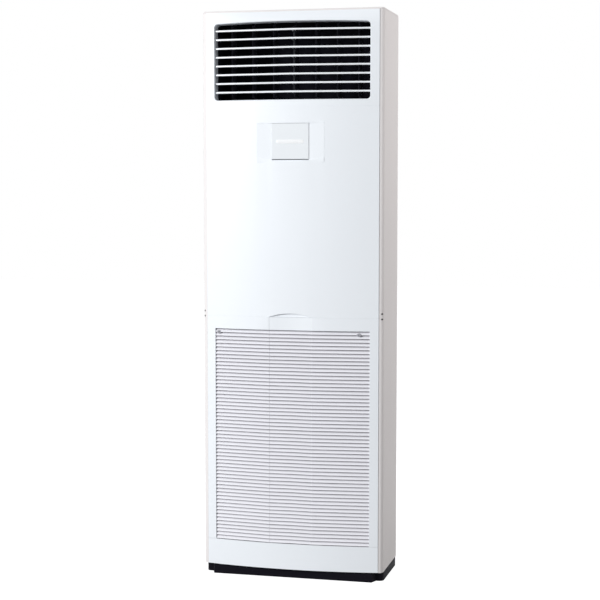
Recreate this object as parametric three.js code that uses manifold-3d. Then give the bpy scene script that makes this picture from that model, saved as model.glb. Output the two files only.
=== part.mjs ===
// A floor standing air conditioner, modelled as the pieces it comes apart into.
// Millimetres, +Z up, front towards -Y. The origin is on the floor under the middle of the cabinet's box.
import * as THREE from "three";
import { mergeVertices } from "three/addons/utils/BufferGeometryUtils.js";
import Module from "manifold-3d";

const wasm = await Module();
wasm.setup();

// ---------------------------------------------------------------- driving dimensions, mm

// Casing
const WIDTH = 600;
const DEPTH = 270;
const HEIGHT = 1840;
const SHEET = 1.5; // sheet steel
const CORNER_RADIUS = 14; // upright front corners
const CORNER_RETURN = 15; // flange behind each front corner
const REAR_FLANGE = 14;
const PLINTH = 32; // height of the black base
const CAP_HEIGHT = 6; // top panel
const CAP_BEVEL = 4;
const CORNER_HOLE_RADIUS = 1.8; // two holes in each front corner
const CORNER_HOLES = [-3, 14]; // their heights over the lower seam
const SEAT = 0.3; // clearance where one piece seats on another
const SEAM = 0.8; // open joint round each front panel

// Base frame and kick strip
const BASE_SETBACK = 51; // from the cabinet's foremost line to the base frame's front
const BASE_WALL = 3;
const BASE_LIP = 18; // upstand inside the side panels
const KICK_MARGIN = 35; // from the cabinet's side to the strip's front corner
const KICK_SETBACK = 23;
const KICK_FLARE = 10; // how far each end slants outwards on its way back
const KICK_WALL = 2.5;

// Front panels
const BOW = 26; // the middle stands this far proud of the side edges
const BOW_STEPS = 10;
const EDGE_STEP = 2; // the panels' side edges stand proud of the casing's corners
const PANEL_WALL = 3;
const PANEL_RETURN = 11; // depth of the returns round each panel
const LOWER_SEAM = 857; // grille below, upper panel above

// Air outlet
const OUTLET_MARGIN = 44; // from the cabinet's side to the opening
const OUTLET_HEIGHT = 248;
const OUTLET_DROP = 38.5; // from the cabinet's top down to the opening
const OUTLET_SILL = 22; // band between the opening and the upper seam
const OUTLET_ARCH = 5; // the top edge rises by this much to its middle
const OUTLET_RADIUS = 10;
const OUTLET_BEVEL = 3;
const SLEEVE_WALL = 2.5;
const SLEEVE_DEPTH = 59; // from the foremost line back to the sleeve's rear rim
const CROWN_DROP = 75; // over this height below its top edge the front's bow fades out

// Horizontal blades
const BLADE_COUNT = 8;
const BLADE_HEADROOM = 25.9; // from the opening's top to the topmost blade's axis
const BLADE_FOOTROOM = 25.4; // the same below the lowest
const BLADE_CHORD = 22;
const BLADE_NOSE = 6.4; // thickness near the front edge
const BLADE_TAIL = 2;
const BLADE_SWEEP = 24; // both halves run back this far from the middle to the ends
const BLADE_SETBACK = 4; // foremost point behind the cabinet's foremost line
const BLADE_END_GAP = 1.5;
const BLADE_PIN_RADIUS = 2.5;
const PIN_CLEARANCE = 0.8; // on radius, in the sleeve's cheeks and the duct's walls
const BLADE_LINK_ARM = 12; // from the blade's axis back to the link's pin
const LINK_PIN_RADIUS = 1.5;
const LINK_THICKNESS = 4;
const LINK_DEPTH = 13;
const LINK_PLAY = 0.45;

// Upright vanes and the duct that holds them
const VANE_COUNT = 7;
const VANE_END_ROOM = 26; // what the vanes' pitches leave over of the duct's width
const VANE_FRONT_CHORD = 24;
const VANE_REAR_CHORD = 28;
const VANE_THICKNESS = 2.8;
const VANE_AXIS_SETBACK = 87;
const VANE_HEADROOM = 10.5;
const VANE_LINK_ARM = 18;
const DUCT_WALL = 4.5;
const DUCT_MARGIN = 42; // from the cabinet's side to the inside of the duct
const DUCT_FLOOR_DEPTH = 60;
const MOTOR_RADIUS = 14;
const MOTOR_HEIGHT = 18;

// Upper panel's recess, the controller in it and its cover
const RECESS_DEPTH = 3.5;
const RECESS_WIDTH = 222;
const RECESS_FOOT = 7.2; // below the cover's lower edge
const RECESS_SAG = 12; // the lower edge rises by this much to its ends
const COVER_WIDTH = 120;
const COVER_HEIGHT = 113.5;
const COVER_DROP = 167.3; // from the upper seam down to its lower edge
const COVER_THICKNESS = 2.4;
const COVER_SETBACK = 1;
const COVER_AXIS_RISE = 2; // hinge axis above the cover's lower edge
const COVER_AXIS_DEPTH = 4.6; // hinge axis behind the cover's face
const COVER_SWEEP = 3.3; // room below the cover for its lower edge to turn in
const COVER_GAP = 0.8;
const COVER_PIN_RADIUS = 0.9;
const EAR_RADIUS = 1.9; // bosses on the controller that hold the cover's pins
const CONTROLLER_WIDTH = 134;
const CONTROLLER_DEPTH = 19;
const CONTROLLER_RIM = 1.3; // raised rim that seats behind the panel
const DISPLAY_WIDTH = 72;
const DISPLAY_HEIGHT = 30;
const BUTTON_TRAVEL = 1.2;
const BUTTON_PROUD = 3;
const BUTTON_RADIUS = 5.5;
const BUTTON_BIG_RADIUS = 8;

// Intake grille
const SLOT_COUNT = 59;
const SLOT_DROP = 43.2; // from the lower seam down to the topmost slot
const SLOT_FOOT = 85.8; // from the plinth up to the lowest
const SLOT_MARGIN = 43; // from the cabinet's side to the slots' ends
const SLAT_THICKNESS = 2.2;
const SLAT_LEAN = 9; // a slat's upper edge lies this much further back
const SLAT_LAP = 1.6; // it reaches this far up behind the next one's lower edge
const SLAT_INSET = 0.8; // slats lie this far behind the face
const SLOT_LIP = 1; // half of the open line under each slat
const RIM_WALL = 2.5;
const CHANNEL_HALF = 70; // scooped centre channel
const CHANNEL_DEPTH = 4.5;
const GRIP_RISE = 12; // arched finger notch in the upper panel's lower edge

// Grille hinge
const HINGE_AXIS_SETBACK = 19; // behind the cabinet's foremost line
const HINGE_AXIS_Z = 42;
const HINGE_INSET = 130; // from the cabinet's side to the middle of each knuckle
const KNUCKLE_LENGTH = 10;
const HINGE_PIN_RADIUS = 2;
const BRACKET_PLATE = 4;

// Air filter and its rails
const FILTER_MARGIN = 37;
const FILTER_BOTTOM = 64.3;
const FILTER_HEADROOM = 25; // below the deck
const FILTER_THICKNESS = 5.4;
const FILTER_SETBACK = 40.7;
const FILTER_FRAME = 9;
const FILTER_PLAY = 0.5;
const RAIL_LAP = 7; // how far a rail reaches over the filter's edge
const RAIL_WALL = 2.4;

// Deck between the fan below and the coil above
const DECK_Z = 790;
const DECK_SHEET = 2;
const DECK_FLANGE = 20;
const DECK_SETBACK = 51;

// Centrifugal fan
const FAN_X = -27;
const WHEEL_RADIUS = 180;
const WHEEL_EYE = 150;
const WHEEL_FRONT = -44;
const WHEEL_BACK = 81;
const WHEEL_BLADES = 28;
const WHEEL_BLADE_THICKNESS = 2;
const WHEEL_PLATE = 2;
const DOME_RADIUS = 72;
const TONGUE_GAP = 18; // between the wheel and the housing's tongue
const TONGUE_ANGLE = 60; // degrees from +X
const SCROLL_GROWTH = 0.3; // mm a degree
const SCROLL_SHEET = 2;
const SCROLL_FRONT = -60;
const SCROLL_BACK = 98;
const SCROLL_OUTLET_LEFT = -40;
const THROAT_RADIUS = 138;
const MOTOR_BODY_RADIUS = 58;
const MOTOR_BODY_FRONT = 12;
const MOTOR_BODY_BACK = 112;
const SHAFT_RADIUS = 6;
const BRACKET_HEIGHT = 90;
const BRACKET_REACH = 150;

// Evaporator coil, its end brackets and the drain pan
const COIL_MARGIN = 64.3;
const COIL_THICKNESS = 45;
const COIL_HEADROOM = 66.5; // its length stops this far short of the upper seam
const COIL_LEAN = THREE.MathUtils.degToRad(13.4);
const COIL_FOOT_Y = -60;
const COIL_FOOT = 30; // over the deck
const TUBE_RADIUS = 4.7;
const TUBE_ROW = 10; // each row's distance from the coil's middle plane
const TUBE_COUNT = 8;
const TUBE_FIRST = 34.5;
const TUBE_LAST = 36.5; // from the last tube to the fins' upper end
const COIL_BRACKET = 2;
const PAN_MARGIN = 32;
const PAN_FRONT = -95;
const PAN_BACK = -20;
const PAN_HEIGHT = 40;
const PAN_WALL = 2.5;
const DRAIN_INSET = 68; // from the pan's end
const DRAIN_Y = -73;
const DRAIN_RADIUS = 8;
const DRAIN_BORE = 5.5;
const DRAIN_LENGTH = 50;

// Refrigerant pipes
const GAS_RADIUS = 8;
const LIQUID_RADIUS = 5;
const PIPE_STEPS = 22;
const NUT_SHARE = 1.6; // a flare nut's radius over its pipe's
const NUT_LENGTH = 14;
const PIPE_EXIT_INSET = 75;
const PIPE_BEND = 200; // height over which a pipe leaves its straight run
const PIPE_EXIT_Z = 130;
const PIPE_SPACING = 36;
const PIPE_RUN_Y = 110;
const PIPE_HOLE_HALF = 38; // the square hole that both pipes leave through
const PIPE_WINDOW_HALF = 68; // the back panel's window round it
const PIPE_PLATE_LAP = 9; // the plate with the hole reaches this far past the window
const PIPE_PLATE_SHEET = 1.2;

// Electrical box
const BOX_RIGHT = -80;
const BOX_FRONT = -78;
const BOX_BACK = 38;
const BOX_BOTTOM = 566;
const BOX_TOP = 768;
const BOX_SHEET = 2;
const BOARD_WIDTH = 170;
const BOARD_HEIGHT = 110;
const BOARD_INSET = 20; // from the box's left wall
const BOARD_RISE = 70; // over the box's floor
const BOARD_STANDOFF = 10;
const RELAY_SIZE = [20, 17, 28];
const RELAY_PITCH = 30;
const CAPACITOR_RADIUS = 14;
const CAPACITOR_LENGTH = 34;
const TERMINAL_PITCH = 16;
const TERMINAL_HEIGHT = 28;
const TERMINAL_DEPTH = 20;

// ---------------------------------------------------------------- places that follow from them

const HALF = WIDTH / 2;
const FRONT = -DEPTH / 2;
const BACK = DEPTH / 2;
const FACE_EDGE_Y = FRONT + BOW;
const CASING_FRONT = FACE_EDGE_Y + EDGE_STEP;
const FACE_HALF = HALF - CORNER_RADIUS - SEAM;
const RETURN_BACK = FACE_EDGE_Y + PANEL_RETURN;
const INSIDE = HALF - SHEET - SEAT; // where inner pieces meet the side panels
const CASING_TOP = HEIGHT - CAP_HEIGHT - SEAT;
const BASE_FRONT = FRONT + BASE_SETBACK;
const BASE_TOP = PLINTH - SEAT;
const SLEEVE_BACK = FRONT + SLEEVE_DEPTH;
const OUTLET_HALF = HALF - OUTLET_MARGIN;
const OUTLET_TOP = HEIGHT - OUTLET_DROP;
const OUTLET_BOTTOM = OUTLET_TOP - OUTLET_HEIGHT;
const UPPER_SEAM = OUTLET_BOTTOM - OUTLET_SILL;
const CROWN_START = HEIGHT - CROWN_DROP;
const BLADE_TOP_Z = OUTLET_TOP - BLADE_HEADROOM;
const BLADE_PITCH = (OUTLET_HEIGHT - BLADE_HEADROOM - BLADE_FOOTROOM) / (BLADE_COUNT - 1);
const BLADE_FRONT = FRONT + BLADE_SETBACK;
const BLADE_AXIS_Y = BLADE_FRONT + BLADE_SWEEP + BLADE_CHORD / 2;
const VANE_AXIS_Y = FRONT + VANE_AXIS_SETBACK;
const DUCT_FRONT = SLEEVE_BACK + SEAT;
const DUCT_HALF = HALF - DUCT_MARGIN;
const VANE_PITCH = (2 * DUCT_HALF - VANE_END_ROOM) / VANE_COUNT;
const DUCT_TOP = OUTLET_TOP + 3;
const DUCT_FLOOR = OUTLET_BOTTOM - 1.5;
const RECESS_Y = FRONT + RECESS_DEPTH;
const COVER_BOTTOM = UPPER_SEAM - COVER_DROP;
const RECESS_BOTTOM = COVER_BOTTOM - RECESS_FOOT;
const COVER_TOP = COVER_BOTTOM + COVER_HEIGHT;
const COVER_FRONT = FRONT + COVER_SETBACK;
const COVER_AXIS_Y = COVER_FRONT + COVER_AXIS_DEPTH;
const COVER_AXIS_Z = COVER_BOTTOM + COVER_AXIS_RISE;
const CONTROLLER_FRONT = RECESS_Y + PANEL_WALL + SEAT;
const CONTROLLER_FACE = CONTROLLER_FRONT + CONTROLLER_RIM;
const SLOT_TOP_Z = LOWER_SEAM - SLOT_DROP;
const SLOT_BOTTOM_Z = PLINTH + SLOT_FOOT;
const SLOT_PITCH = (SLOT_TOP_Z - SLOT_BOTTOM_Z) / (SLOT_COUNT - 1);
const SLOT_HALF = HALF - SLOT_MARGIN;
const GRILLE_BOTTOM = PLINTH + SEAM;
const GRILLE_TOP = LOWER_SEAM - SEAM / 2;
const HINGE_AXIS_Y = FRONT + HINGE_AXIS_SETBACK;
const HINGE_X = HALF - HINGE_INSET;
const FILTER_FRONT = FRONT + FILTER_SETBACK;
const FILTER_HALF = HALF - FILTER_MARGIN;
const FILTER_TOP = DECK_Z - FILTER_HEADROOM;
const FAN_Z =
  BASE_TOP + SEAT + WHEEL_RADIUS + TONGUE_GAP + SCROLL_GROWTH * (270 - TONGUE_ANGLE);
const PAN_BOTTOM = DECK_Z + DECK_SHEET + SEAT;
const PAN_HALF = HALF - PAN_MARGIN;
const DRAIN_X = PAN_HALF - DRAIN_INSET;
const COIL_HALF = HALF - COIL_MARGIN;
const COIL_FOOT_Z = DECK_Z + COIL_FOOT;
const COIL_LENGTH = UPPER_SEAM - COIL_HEADROOM - COIL_FOOT_Z;
const TUBE_PITCH = (COIL_LENGTH - TUBE_FIRST - TUBE_LAST) / (TUBE_COUNT - 1);
const PIPE_EXIT_X = HALF - PIPE_EXIT_INSET;
const PENTAGON = (360 * 4) / 5; // degrees round to the last of five corners

// ---------------------------------------------------------------- finishes

const FINISH = {
  whitePlastic: { color: 0xeff3f7, roughness: 0.38 },
  whiteSteel: { color: 0xd9d4d2, roughness: 0.42, metalness: 0.1 },
  blackSteel: { color: 0x15151c, roughness: 0.5, metalness: 0.2 },
  greyPlastic: { color: 0x5a5d63, roughness: 0.6 },
  blackPlastic: { color: 0x1b1c22, roughness: 0.55 },
  zincSteel: { color: 0xb4b7ba, roughness: 0.4, metalness: 0.8 },
  aluminium: { color: 0xc9ccce, roughness: 0.35, metalness: 0.9 },
  copper: { color: 0xb87346, roughness: 0.35, metalness: 0.95 },
  foam: { color: 0x2a2b30, roughness: 0.9 },
  display: { color: 0x6f7d78, roughness: 0.1 },
};

// ---------------------------------------------------------------- making and joining solids

// A closed three.js geometry as a solid, turned the right way out.
function asSolid(geometry) {
  const bare = new THREE.BufferGeometry();
  bare.setAttribute("position", geometry.getAttribute("position"));
  bare.setIndex(geometry.index);
  const merged = mergeVertices(bare, 1e-4);
  const vertProperties = merged.getAttribute("position").array;
  const index = merged.index.array;
  const build = (triVerts) => new wasm.Manifold(new wasm.Mesh({ numProp: 3, vertProperties, triVerts }));
  const solid = build(new Uint32Array(index));
  return solid.volume() < 0 ? build(new Uint32Array(index).reverse()) : solid;
}

const join = (first, ...others) => others.reduce((sum, next) => sum.add(next), first);
const cut = (first, ...others) => others.reduce((rest, next) => rest.subtract(next), first);

// A node: a named mesh with its own material.
function node(name, solid, finish) {
  const { vertProperties, triVerts } = solid.getMesh();
  const geometry = new THREE.BufferGeometry();
  geometry.setAttribute("position", new THREE.BufferAttribute(new Float32Array(vertProperties), 3));
  geometry.setIndex(new THREE.BufferAttribute(new Uint32Array(triVerts), 1));
  const mesh = new THREE.Mesh(geometry, new THREE.MeshStandardMaterial({ ...finish, flatShading: true }));
  mesh.name = name;
  return mesh;
}

const AXIS_X = new THREE.Vector3(1, 0, 0);
const AXIS_Y = new THREE.Vector3(0, 1, 0);
const AXIS_Z = new THREE.Vector3(0, 0, 1);

// An outline of [u, v] points made solid between two stations along u x v.
function extrude(points, from, to, u, v) {
  const shape = new THREE.Shape(points.map(([a, b]) => new THREE.Vector2(a, b)));
  const geometry = new THREE.ExtrudeGeometry(shape, { depth: to - from, bevelEnabled: false });
  geometry.translate(0, 0, from);
  return asSolid(geometry.applyMatrix4(new THREE.Matrix4().makeBasis(u, v, u.clone().cross(v))));
}

const planSolid = (points, z0, z1) => extrude(points, z0, z1, AXIS_X, AXIS_Y); // [x, y] outline
const sideSolid = (points, x0, x1) => extrude(points, x0, x1, AXIS_Y, AXIS_Z); // [y, z] outline
const frontSolid = (points, y0, y1) => extrude(points, -y1, -y0, AXIS_X, AXIS_Z); // [x, z] outline

function box(x0, x1, y0, y1, z0, z1) {
  const geometry = new THREE.BoxGeometry(x1 - x0, y1 - y0, z1 - z0);
  return asSolid(geometry.translate((x0 + x1) / 2, (y0 + y1) / 2, (z0 + z1) / 2));
}

// A round bar between two stations on an axis through [a, b], the other two coordinates in X, Y, Z order.
function rod(axis, radius, from, to, [a, b], sides = 6) {
  const geometry = new THREE.CylinderGeometry(radius, radius, to - from, sides);
  const middle = (from + to) / 2;
  if (axis === "x") geometry.rotateZ(Math.PI / 2).translate(middle, a, b);
  if (axis === "y") geometry.translate(a, middle, b);
  if (axis === "z") geometry.rotateX(Math.PI / 2).translate(a, b, middle);
  return asSolid(geometry);
}

// A profile of [radius, y] points turned about the Y axis.
function lathe(profile, sides = 20) {
  const closed = [...profile, profile[0]].map(([r, y]) => new THREE.Vector2(r, y));
  return asSolid(new THREE.LatheGeometry(closed, sides));
}

// A skin over rings of equally many points, closed by flat ends, or end to end when `hoop` is set.
function loft(rings, flatten, hoop = false) {
  const count = rings[0].length;
  const spans = hoop ? rings.length : rings.length - 1;
  const index = [];
  for (let r = 0; r < spans; r++) {
    const next = ((r + 1) % rings.length) * count;
    for (let i = 0; i < count; i++) {
      const a = r * count + i;
      const b = r * count + ((i + 1) % count);
      const c = next + i;
      const d = next + ((i + 1) % count);
      index.push(a, b, c, b, d, c);
    }
  }
  if (!hoop) {
    const last = (rings.length - 1) * count;
    const turned = THREE.ShapeUtils.isClockWise(rings[0].map(flatten));
    for (const [a, b, c] of THREE.ShapeUtils.triangulateShape(rings[0].map(flatten), []))
      index.push(...(turned ? [a, b, c] : [c, b, a]));
    for (const [a, b, c] of THREE.ShapeUtils.triangulateShape(rings.at(-1).map(flatten), []))
      index.push(...(turned ? [last + c, last + b, last + a] : [last + a, last + b, last + c]));
  }
  const geometry = new THREE.BufferGeometry().setFromPoints(rings.flat());
  return asSolid(geometry.setIndex(index));
}

// A [y, z] section carried from side to side, shifted in Y along a plan curve.
function sweepAcross(section, stations, curveY) {
  const rings = stations.map((x) => section.map(([y, z]) => new THREE.Vector3(x, y + curveY(x), z)));
  return loft(rings, (p) => new THREE.Vector2(p.y, p.z));
}

// The outline of a strip of one thickness to the left of a path.
function ribbon(path, thickness) {
  const leftOf = ([ax, ay], [bx, by]) => {
    const length = Math.hypot(bx - ax, by - ay);
    return [(ay - by) / length, (bx - ax) / length];
  };
  const offset = path.map((point, i) => {
    const before = leftOf(...(i > 0 ? [path[i - 1], point] : [point, path[i + 1]]));
    const after = leftOf(...(i + 1 < path.length ? [point, path[i + 1]] : [path[i - 1], point]));
    const scale = thickness / (1 + before[0] * after[0] + before[1] * after[1]);
    return [point[0] + (before[0] + after[0]) * scale, point[1] + (before[1] + after[1]) * scale];
  });
  return [...path, ...offset.reverse()];
}

// Points of an arc about a centre, angles in degrees.
function arc([x, y], radius, from, to, steps) {
  return Array.from({ length: steps + 1 }, (_, i) => {
    const angle = THREE.MathUtils.degToRad(from + ((to - from) * i) / steps);
    return [x + radius * Math.cos(angle), y + radius * Math.sin(angle)];
  });
}

const evenly = (from, to, steps) =>
  Array.from({ length: steps + 1 }, (_, i) => from + ((to - from) * i) / steps);
const mirrorX = (points, sign) => points.map(([x, y]) => [x * sign, y]);

// ---------------------------------------------------------------- the bowed front

// The front's plan curve: a parabola, whose bow can be faded out by `share`.
const faceY = (x, share = 1) => FACE_EDGE_Y - BOW * share * (1 - (x / FACE_HALF) ** 2);

// The plan outline of a front panel, drawn in by `inset` and cut off at `back`.
function frontOutline(inset, back, share = 1) {
  const half = FACE_HALF - inset;
  const face = evenly(-half, half, BOW_STEPS).map((x) => [x, faceY(x, share) + inset]);
  return [...face, [half, back], [-half, back]];
}

// A bowed panel with returns on all four sides, open at the back.
function frontShell(z0, z1) {
  const hollow = planSolid(frontOutline(PANEL_WALL, RETURN_BACK + 1), z0 + PANEL_WALL, z1 - PANEL_WALL);
  return cut(planSolid(frontOutline(0, RETURN_BACK), z0, z1), hollow);
}

// ---------------------------------------------------------------- casing

// The cabinet's plan outline with rounded front corners, drawn in by `inset`.
function casingOutline(half, front, back, radius) {
  return [
    ...arc([-half + radius, front + radius], radius, 180, 270, 4),
    ...arc([half - radius, front + radius], radius, 270, 360, 4),
    [half, back],
    [-half, back],
  ];
}

function baseFrame() {
  const back = BACK - SHEET - SEAT;
  const outer = casingOutline(INSIDE, BASE_FRONT, back, CORNER_RADIUS);
  const inner = casingOutline(
    INSIDE - BASE_WALL,
    BASE_FRONT + BASE_WALL,
    back - BASE_WALL,
    CORNER_RADIUS - BASE_WALL,
  );
  const tray = cut(planSolid(outer, 0, BASE_TOP), planSolid(inner, -1, BASE_TOP - BASE_WALL));
  const lips = [-1, 1].map((side) => {
    const edges = [side * INSIDE, side * (INSIDE - BASE_WALL)].sort((a, b) => a - b);
    const front = BASE_FRONT + 2 * CORNER_RADIUS;
    return box(...edges, front, back - CORNER_RADIUS, BASE_TOP - 1, PLINTH + BASE_LIP);
  });
  return join(tray, ...lips);
}

function kickStrip() {
  const half = HALF - KICK_MARGIN;
  const front = FRONT + KICK_SETBACK;
  const rear = BASE_FRONT - KICK_WALL / 2;
  const path = [[-half - KICK_FLARE, rear], [-half, front], [half, front], [half + KICK_FLARE, rear]];
  return planSolid(ribbon(path, KICK_WALL), 0, BASE_TOP - 2 * SEAT);
}

function sidePanel(side) {
  const rear = BACK - SHEET - SEAT;
  const path = [
    [HALF - REAR_FLANGE, rear],
    [HALF, rear],
    ...arc([HALF - CORNER_RADIUS, CASING_FRONT + CORNER_RADIUS], CORNER_RADIUS, 0, -90, 5),
    [HALF - CORNER_RADIUS, CASING_FRONT + CORNER_RETURN],
  ];
  const holeX = side * (HALF - CORNER_RADIUS / 3);
  const holes = CORNER_HOLES.map((rise) =>
    rod("y", CORNER_HOLE_RADIUS, CASING_FRONT - 1, CASING_FRONT + CORNER_RADIUS, [holeX, LOWER_SEAM + rise]),
  );
  return cut(planSolid(ribbon(mirrorX(path, side), -side * SHEET), PLINTH, CASING_TOP), ...holes);
}

function backPanel() {
  const inner = BACK - SHEET;
  const sheet = box(-HALF, HALF, inner, BACK, PLINTH, CASING_TOP);
  const ribs = [0.3, 0.55, 0.8].map((share) => {
    const z = HEIGHT * share;
    const outer = inner + SHEET / 2;
    const section = [[outer, z - 12], [inner - 3, z - 6], [inner - 3, z + 6], [outer, z + 12]];
    return sideSolid(section, -HALF * 0.8, HALF * 0.8);
  });
  return cut(join(sheet, ...ribs), pipeSquare(PIPE_WINDOW_HALF, inner - 5, BACK + 1));
}

// A square column round both pipes' ends.
function pipeSquare(half, front, back) {
  const x = PIPE_EXIT_X - PIPE_SPACING / 2;
  return box(x - half, x + half, front, back, PIPE_EXIT_Z - half, PIPE_EXIT_Z + half);
}

// The plate behind the back panel's window. A fitter takes it off to reach the pipes' nuts.
function pipePlate() {
  const back = BACK - SHEET - SEAT;
  const front = back - PIPE_PLATE_SHEET;
  const plate = pipeSquare(PIPE_WINDOW_HALF + PIPE_PLATE_LAP, front, back);
  return cut(plate, pipeSquare(PIPE_HOLE_HALF, front - 1, back + 1));
}

function topPanel() {
  const level = (z, inset) =>
    casingOutline(HALF - inset, CASING_FRONT + inset, BACK - inset, CORNER_RADIUS - inset).map(
      ([x, y]) => new THREE.Vector3(x, y, z),
    );
  const rings = [level(HEIGHT - CAP_HEIGHT, 0), level(HEIGHT - CAP_BEVEL, 0), level(HEIGHT, CAP_BEVEL)];
  const body = loft(rings, (p) => new THREE.Vector2(p.x, p.y));
  const inset = CAP_BEVEL + SHEET;
  const pocket = planSolid(
    casingOutline(HALF - inset, CASING_FRONT + inset, BACK - inset, CORNER_RADIUS - inset),
    HEIGHT - CAP_HEIGHT - 1,
    HEIGHT - SHEET,
  );
  return cut(body, pocket);
}

// ---------------------------------------------------------------- outlet frame, blades and their link

// The share of the bow that is left at a height, fading out towards the straight top edge.
const crownShare = (step) => 1 - step * step;

// The outlet's outline in the front view, grown by `grow` on every side: arched above and
// rounded at its corners.
function outletOutline(grow) {
  const half = OUTLET_HALF + grow;
  const radius = OUTLET_RADIUS + grow;
  const bottom = OUTLET_BOTTOM - grow;
  const shoulder = OUTLET_TOP - OUTLET_ARCH + grow;
  const inner = half - radius;
  const edge = evenly(-inner, inner, BOW_STEPS).slice(1, -1);
  const arched = edge.map((x) => [x, shoulder + OUTLET_ARCH * (1 - (x / inner) ** 2)]);
  return [
    ...arc([-inner, bottom + radius], radius, 180, 270, 3),
    ...edge.map((x) => [x, bottom]),
    ...arc([inner, bottom + radius], radius, 270, 360, 3),
    ...arc([inner, shoulder - radius], radius, 0, 90, 3),
    ...arched.reverse(),
    ...arc([-inner, shoulder - radius], radius, 90, 180, 3),
  ];
}

function outletFrame() {
  const bottom = UPPER_SEAM + SEAM / 2;
  const steps = [0, 0.4, 0.7, 1];
  const crown = (inset, back, z0, z1) => {
    const levels = [[z0, 1], ...steps.map((s) => [CROWN_START + s * (z1 - CROWN_START), crownShare(s)])];
    const ringAt = ([z, share]) =>
      frontOutline(inset, back, share).map(([x, y]) => new THREE.Vector3(x, y, z));
    const rings = levels.map(ringAt);
    return loft(rings, (p) => new THREE.Vector2(p.x, p.y));
  };
  const shell = cut(
    crown(0, RETURN_BACK, bottom, CASING_TOP),
    crown(PANEL_WALL, RETURN_BACK + 1, bottom + PANEL_WALL, CASING_TOP - PANEL_WALL),
  );
  const sleeve = frontSolid(outletOutline(SLEEVE_WALL), FRONT - 1, SLEEVE_BACK).intersect(
    crown(0, SLEEVE_BACK, bottom, CASING_TOP),
  );
  const faceRing = (grow, depth) =>
    outletOutline(grow).map(([x, z]) => {
      const step = Math.max(0, (z - CROWN_START) / (CASING_TOP - CROWN_START));
      return new THREE.Vector3(x, faceY(x, crownShare(step)) + depth, z);
    });
  const bevel = loft(
    [
      faceRing(OUTLET_BEVEL, -1),
      faceRing(0, OUTLET_BEVEL),
      faceRing(-OUTLET_BEVEL, OUTLET_BEVEL),
      faceRing(-OUTLET_BEVEL, -1),
    ],
    null,
    true,
  );
  const opening = frontSolid(outletOutline(0), FRONT - 2, SLEEVE_BACK + 1);
  const reach = OUTLET_HALF + SLEEVE_WALL + 2;
  const pinHoles = bladeHeights().map((z) =>
    rod("x", BLADE_PIN_RADIUS + PIN_CLEARANCE, -reach, reach, [BLADE_AXIS_Y, z]),
  );
  return cut(join(shell, sleeve), opening, bevel, ...pinHoles);
}

const bladeHeights = () => Array.from({ length: BLADE_COUNT }, (_, i) => BLADE_TOP_Z - i * BLADE_PITCH);

// One blade about its own axis: two straight halves that meet in a shallow V, a pin at each end and
// an arm in the middle that carries the link's pin.
function blade() {
  const half = OUTLET_HALF - BLADE_END_GAP;
  const front = BLADE_FRONT - BLADE_AXIS_Y;
  const nose = BLADE_NOSE / 2;
  const tail = BLADE_TAIL / 2;
  const section = [
    [0, -nose * 0.7],
    [nose, -nose],
    [BLADE_CHORD, -tail],
    [BLADE_CHORD, tail],
    [nose, nose],
    [0, nose * 0.7],
  ];
  const body = sweepAcross(section, [-half, 0, half], (x) => front + (BLADE_SWEEP * Math.abs(x)) / half);
  const pins = [-1, 1].map((side) => {
    const ends = [side * (half - 1), side * (OUTLET_HALF + SLEEVE_WALL)].sort((a, b) => a - b);
    return rod("x", BLADE_PIN_RADIUS, ...ends, [0, 0]);
  });
  const tip = BLADE_LINK_ARM + 2 * LINK_PIN_RADIUS;
  const arm = sideSolid(
    [
      [front + BLADE_CHORD / 2, -tail],
      [tip, -LINK_PIN_RADIUS * 1.5],
      [tip, LINK_PIN_RADIUS * 1.5],
      [front + BLADE_CHORD / 2, tail],
    ],
    -LINK_THICKNESS + 1,
    0,
  );
  const linkPin = rod("x", LINK_PIN_RADIUS, -1, LINK_THICKNESS + 2, [BLADE_LINK_ARM, 0]);
  return join(body, ...pins, arm, linkPin);
}

// The upright link: each blade's pin turns in a hole of it.
function bladeLink() {
  const y = BLADE_AXIS_Y + BLADE_LINK_ARM;
  const heights = bladeHeights();
  const side = LINK_PLAY;
  const holeHalf = LINK_PIN_RADIUS + LINK_PLAY;
  const holes = heights.map((z) =>
    box(0, LINK_THICKNESS + 2, y - holeHalf, y + holeHalf, z - holeHalf, z + holeHalf),
  );
  const bar = box(
    side,
    side + LINK_THICKNESS,
    y - LINK_DEPTH / 2,
    y + LINK_DEPTH / 2,
    heights.at(-1) - LINK_DEPTH / 2,
    heights[0] + LINK_DEPTH / 2,
  );
  return cut(bar, ...holes);
}

// ---------------------------------------------------------------- outlet duct, vanes, their link and motor

const vaneStations = () =>
  Array.from({ length: VANE_COUNT }, (_, i) => (i - (VANE_COUNT - 1) / 2) * VANE_PITCH);

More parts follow.
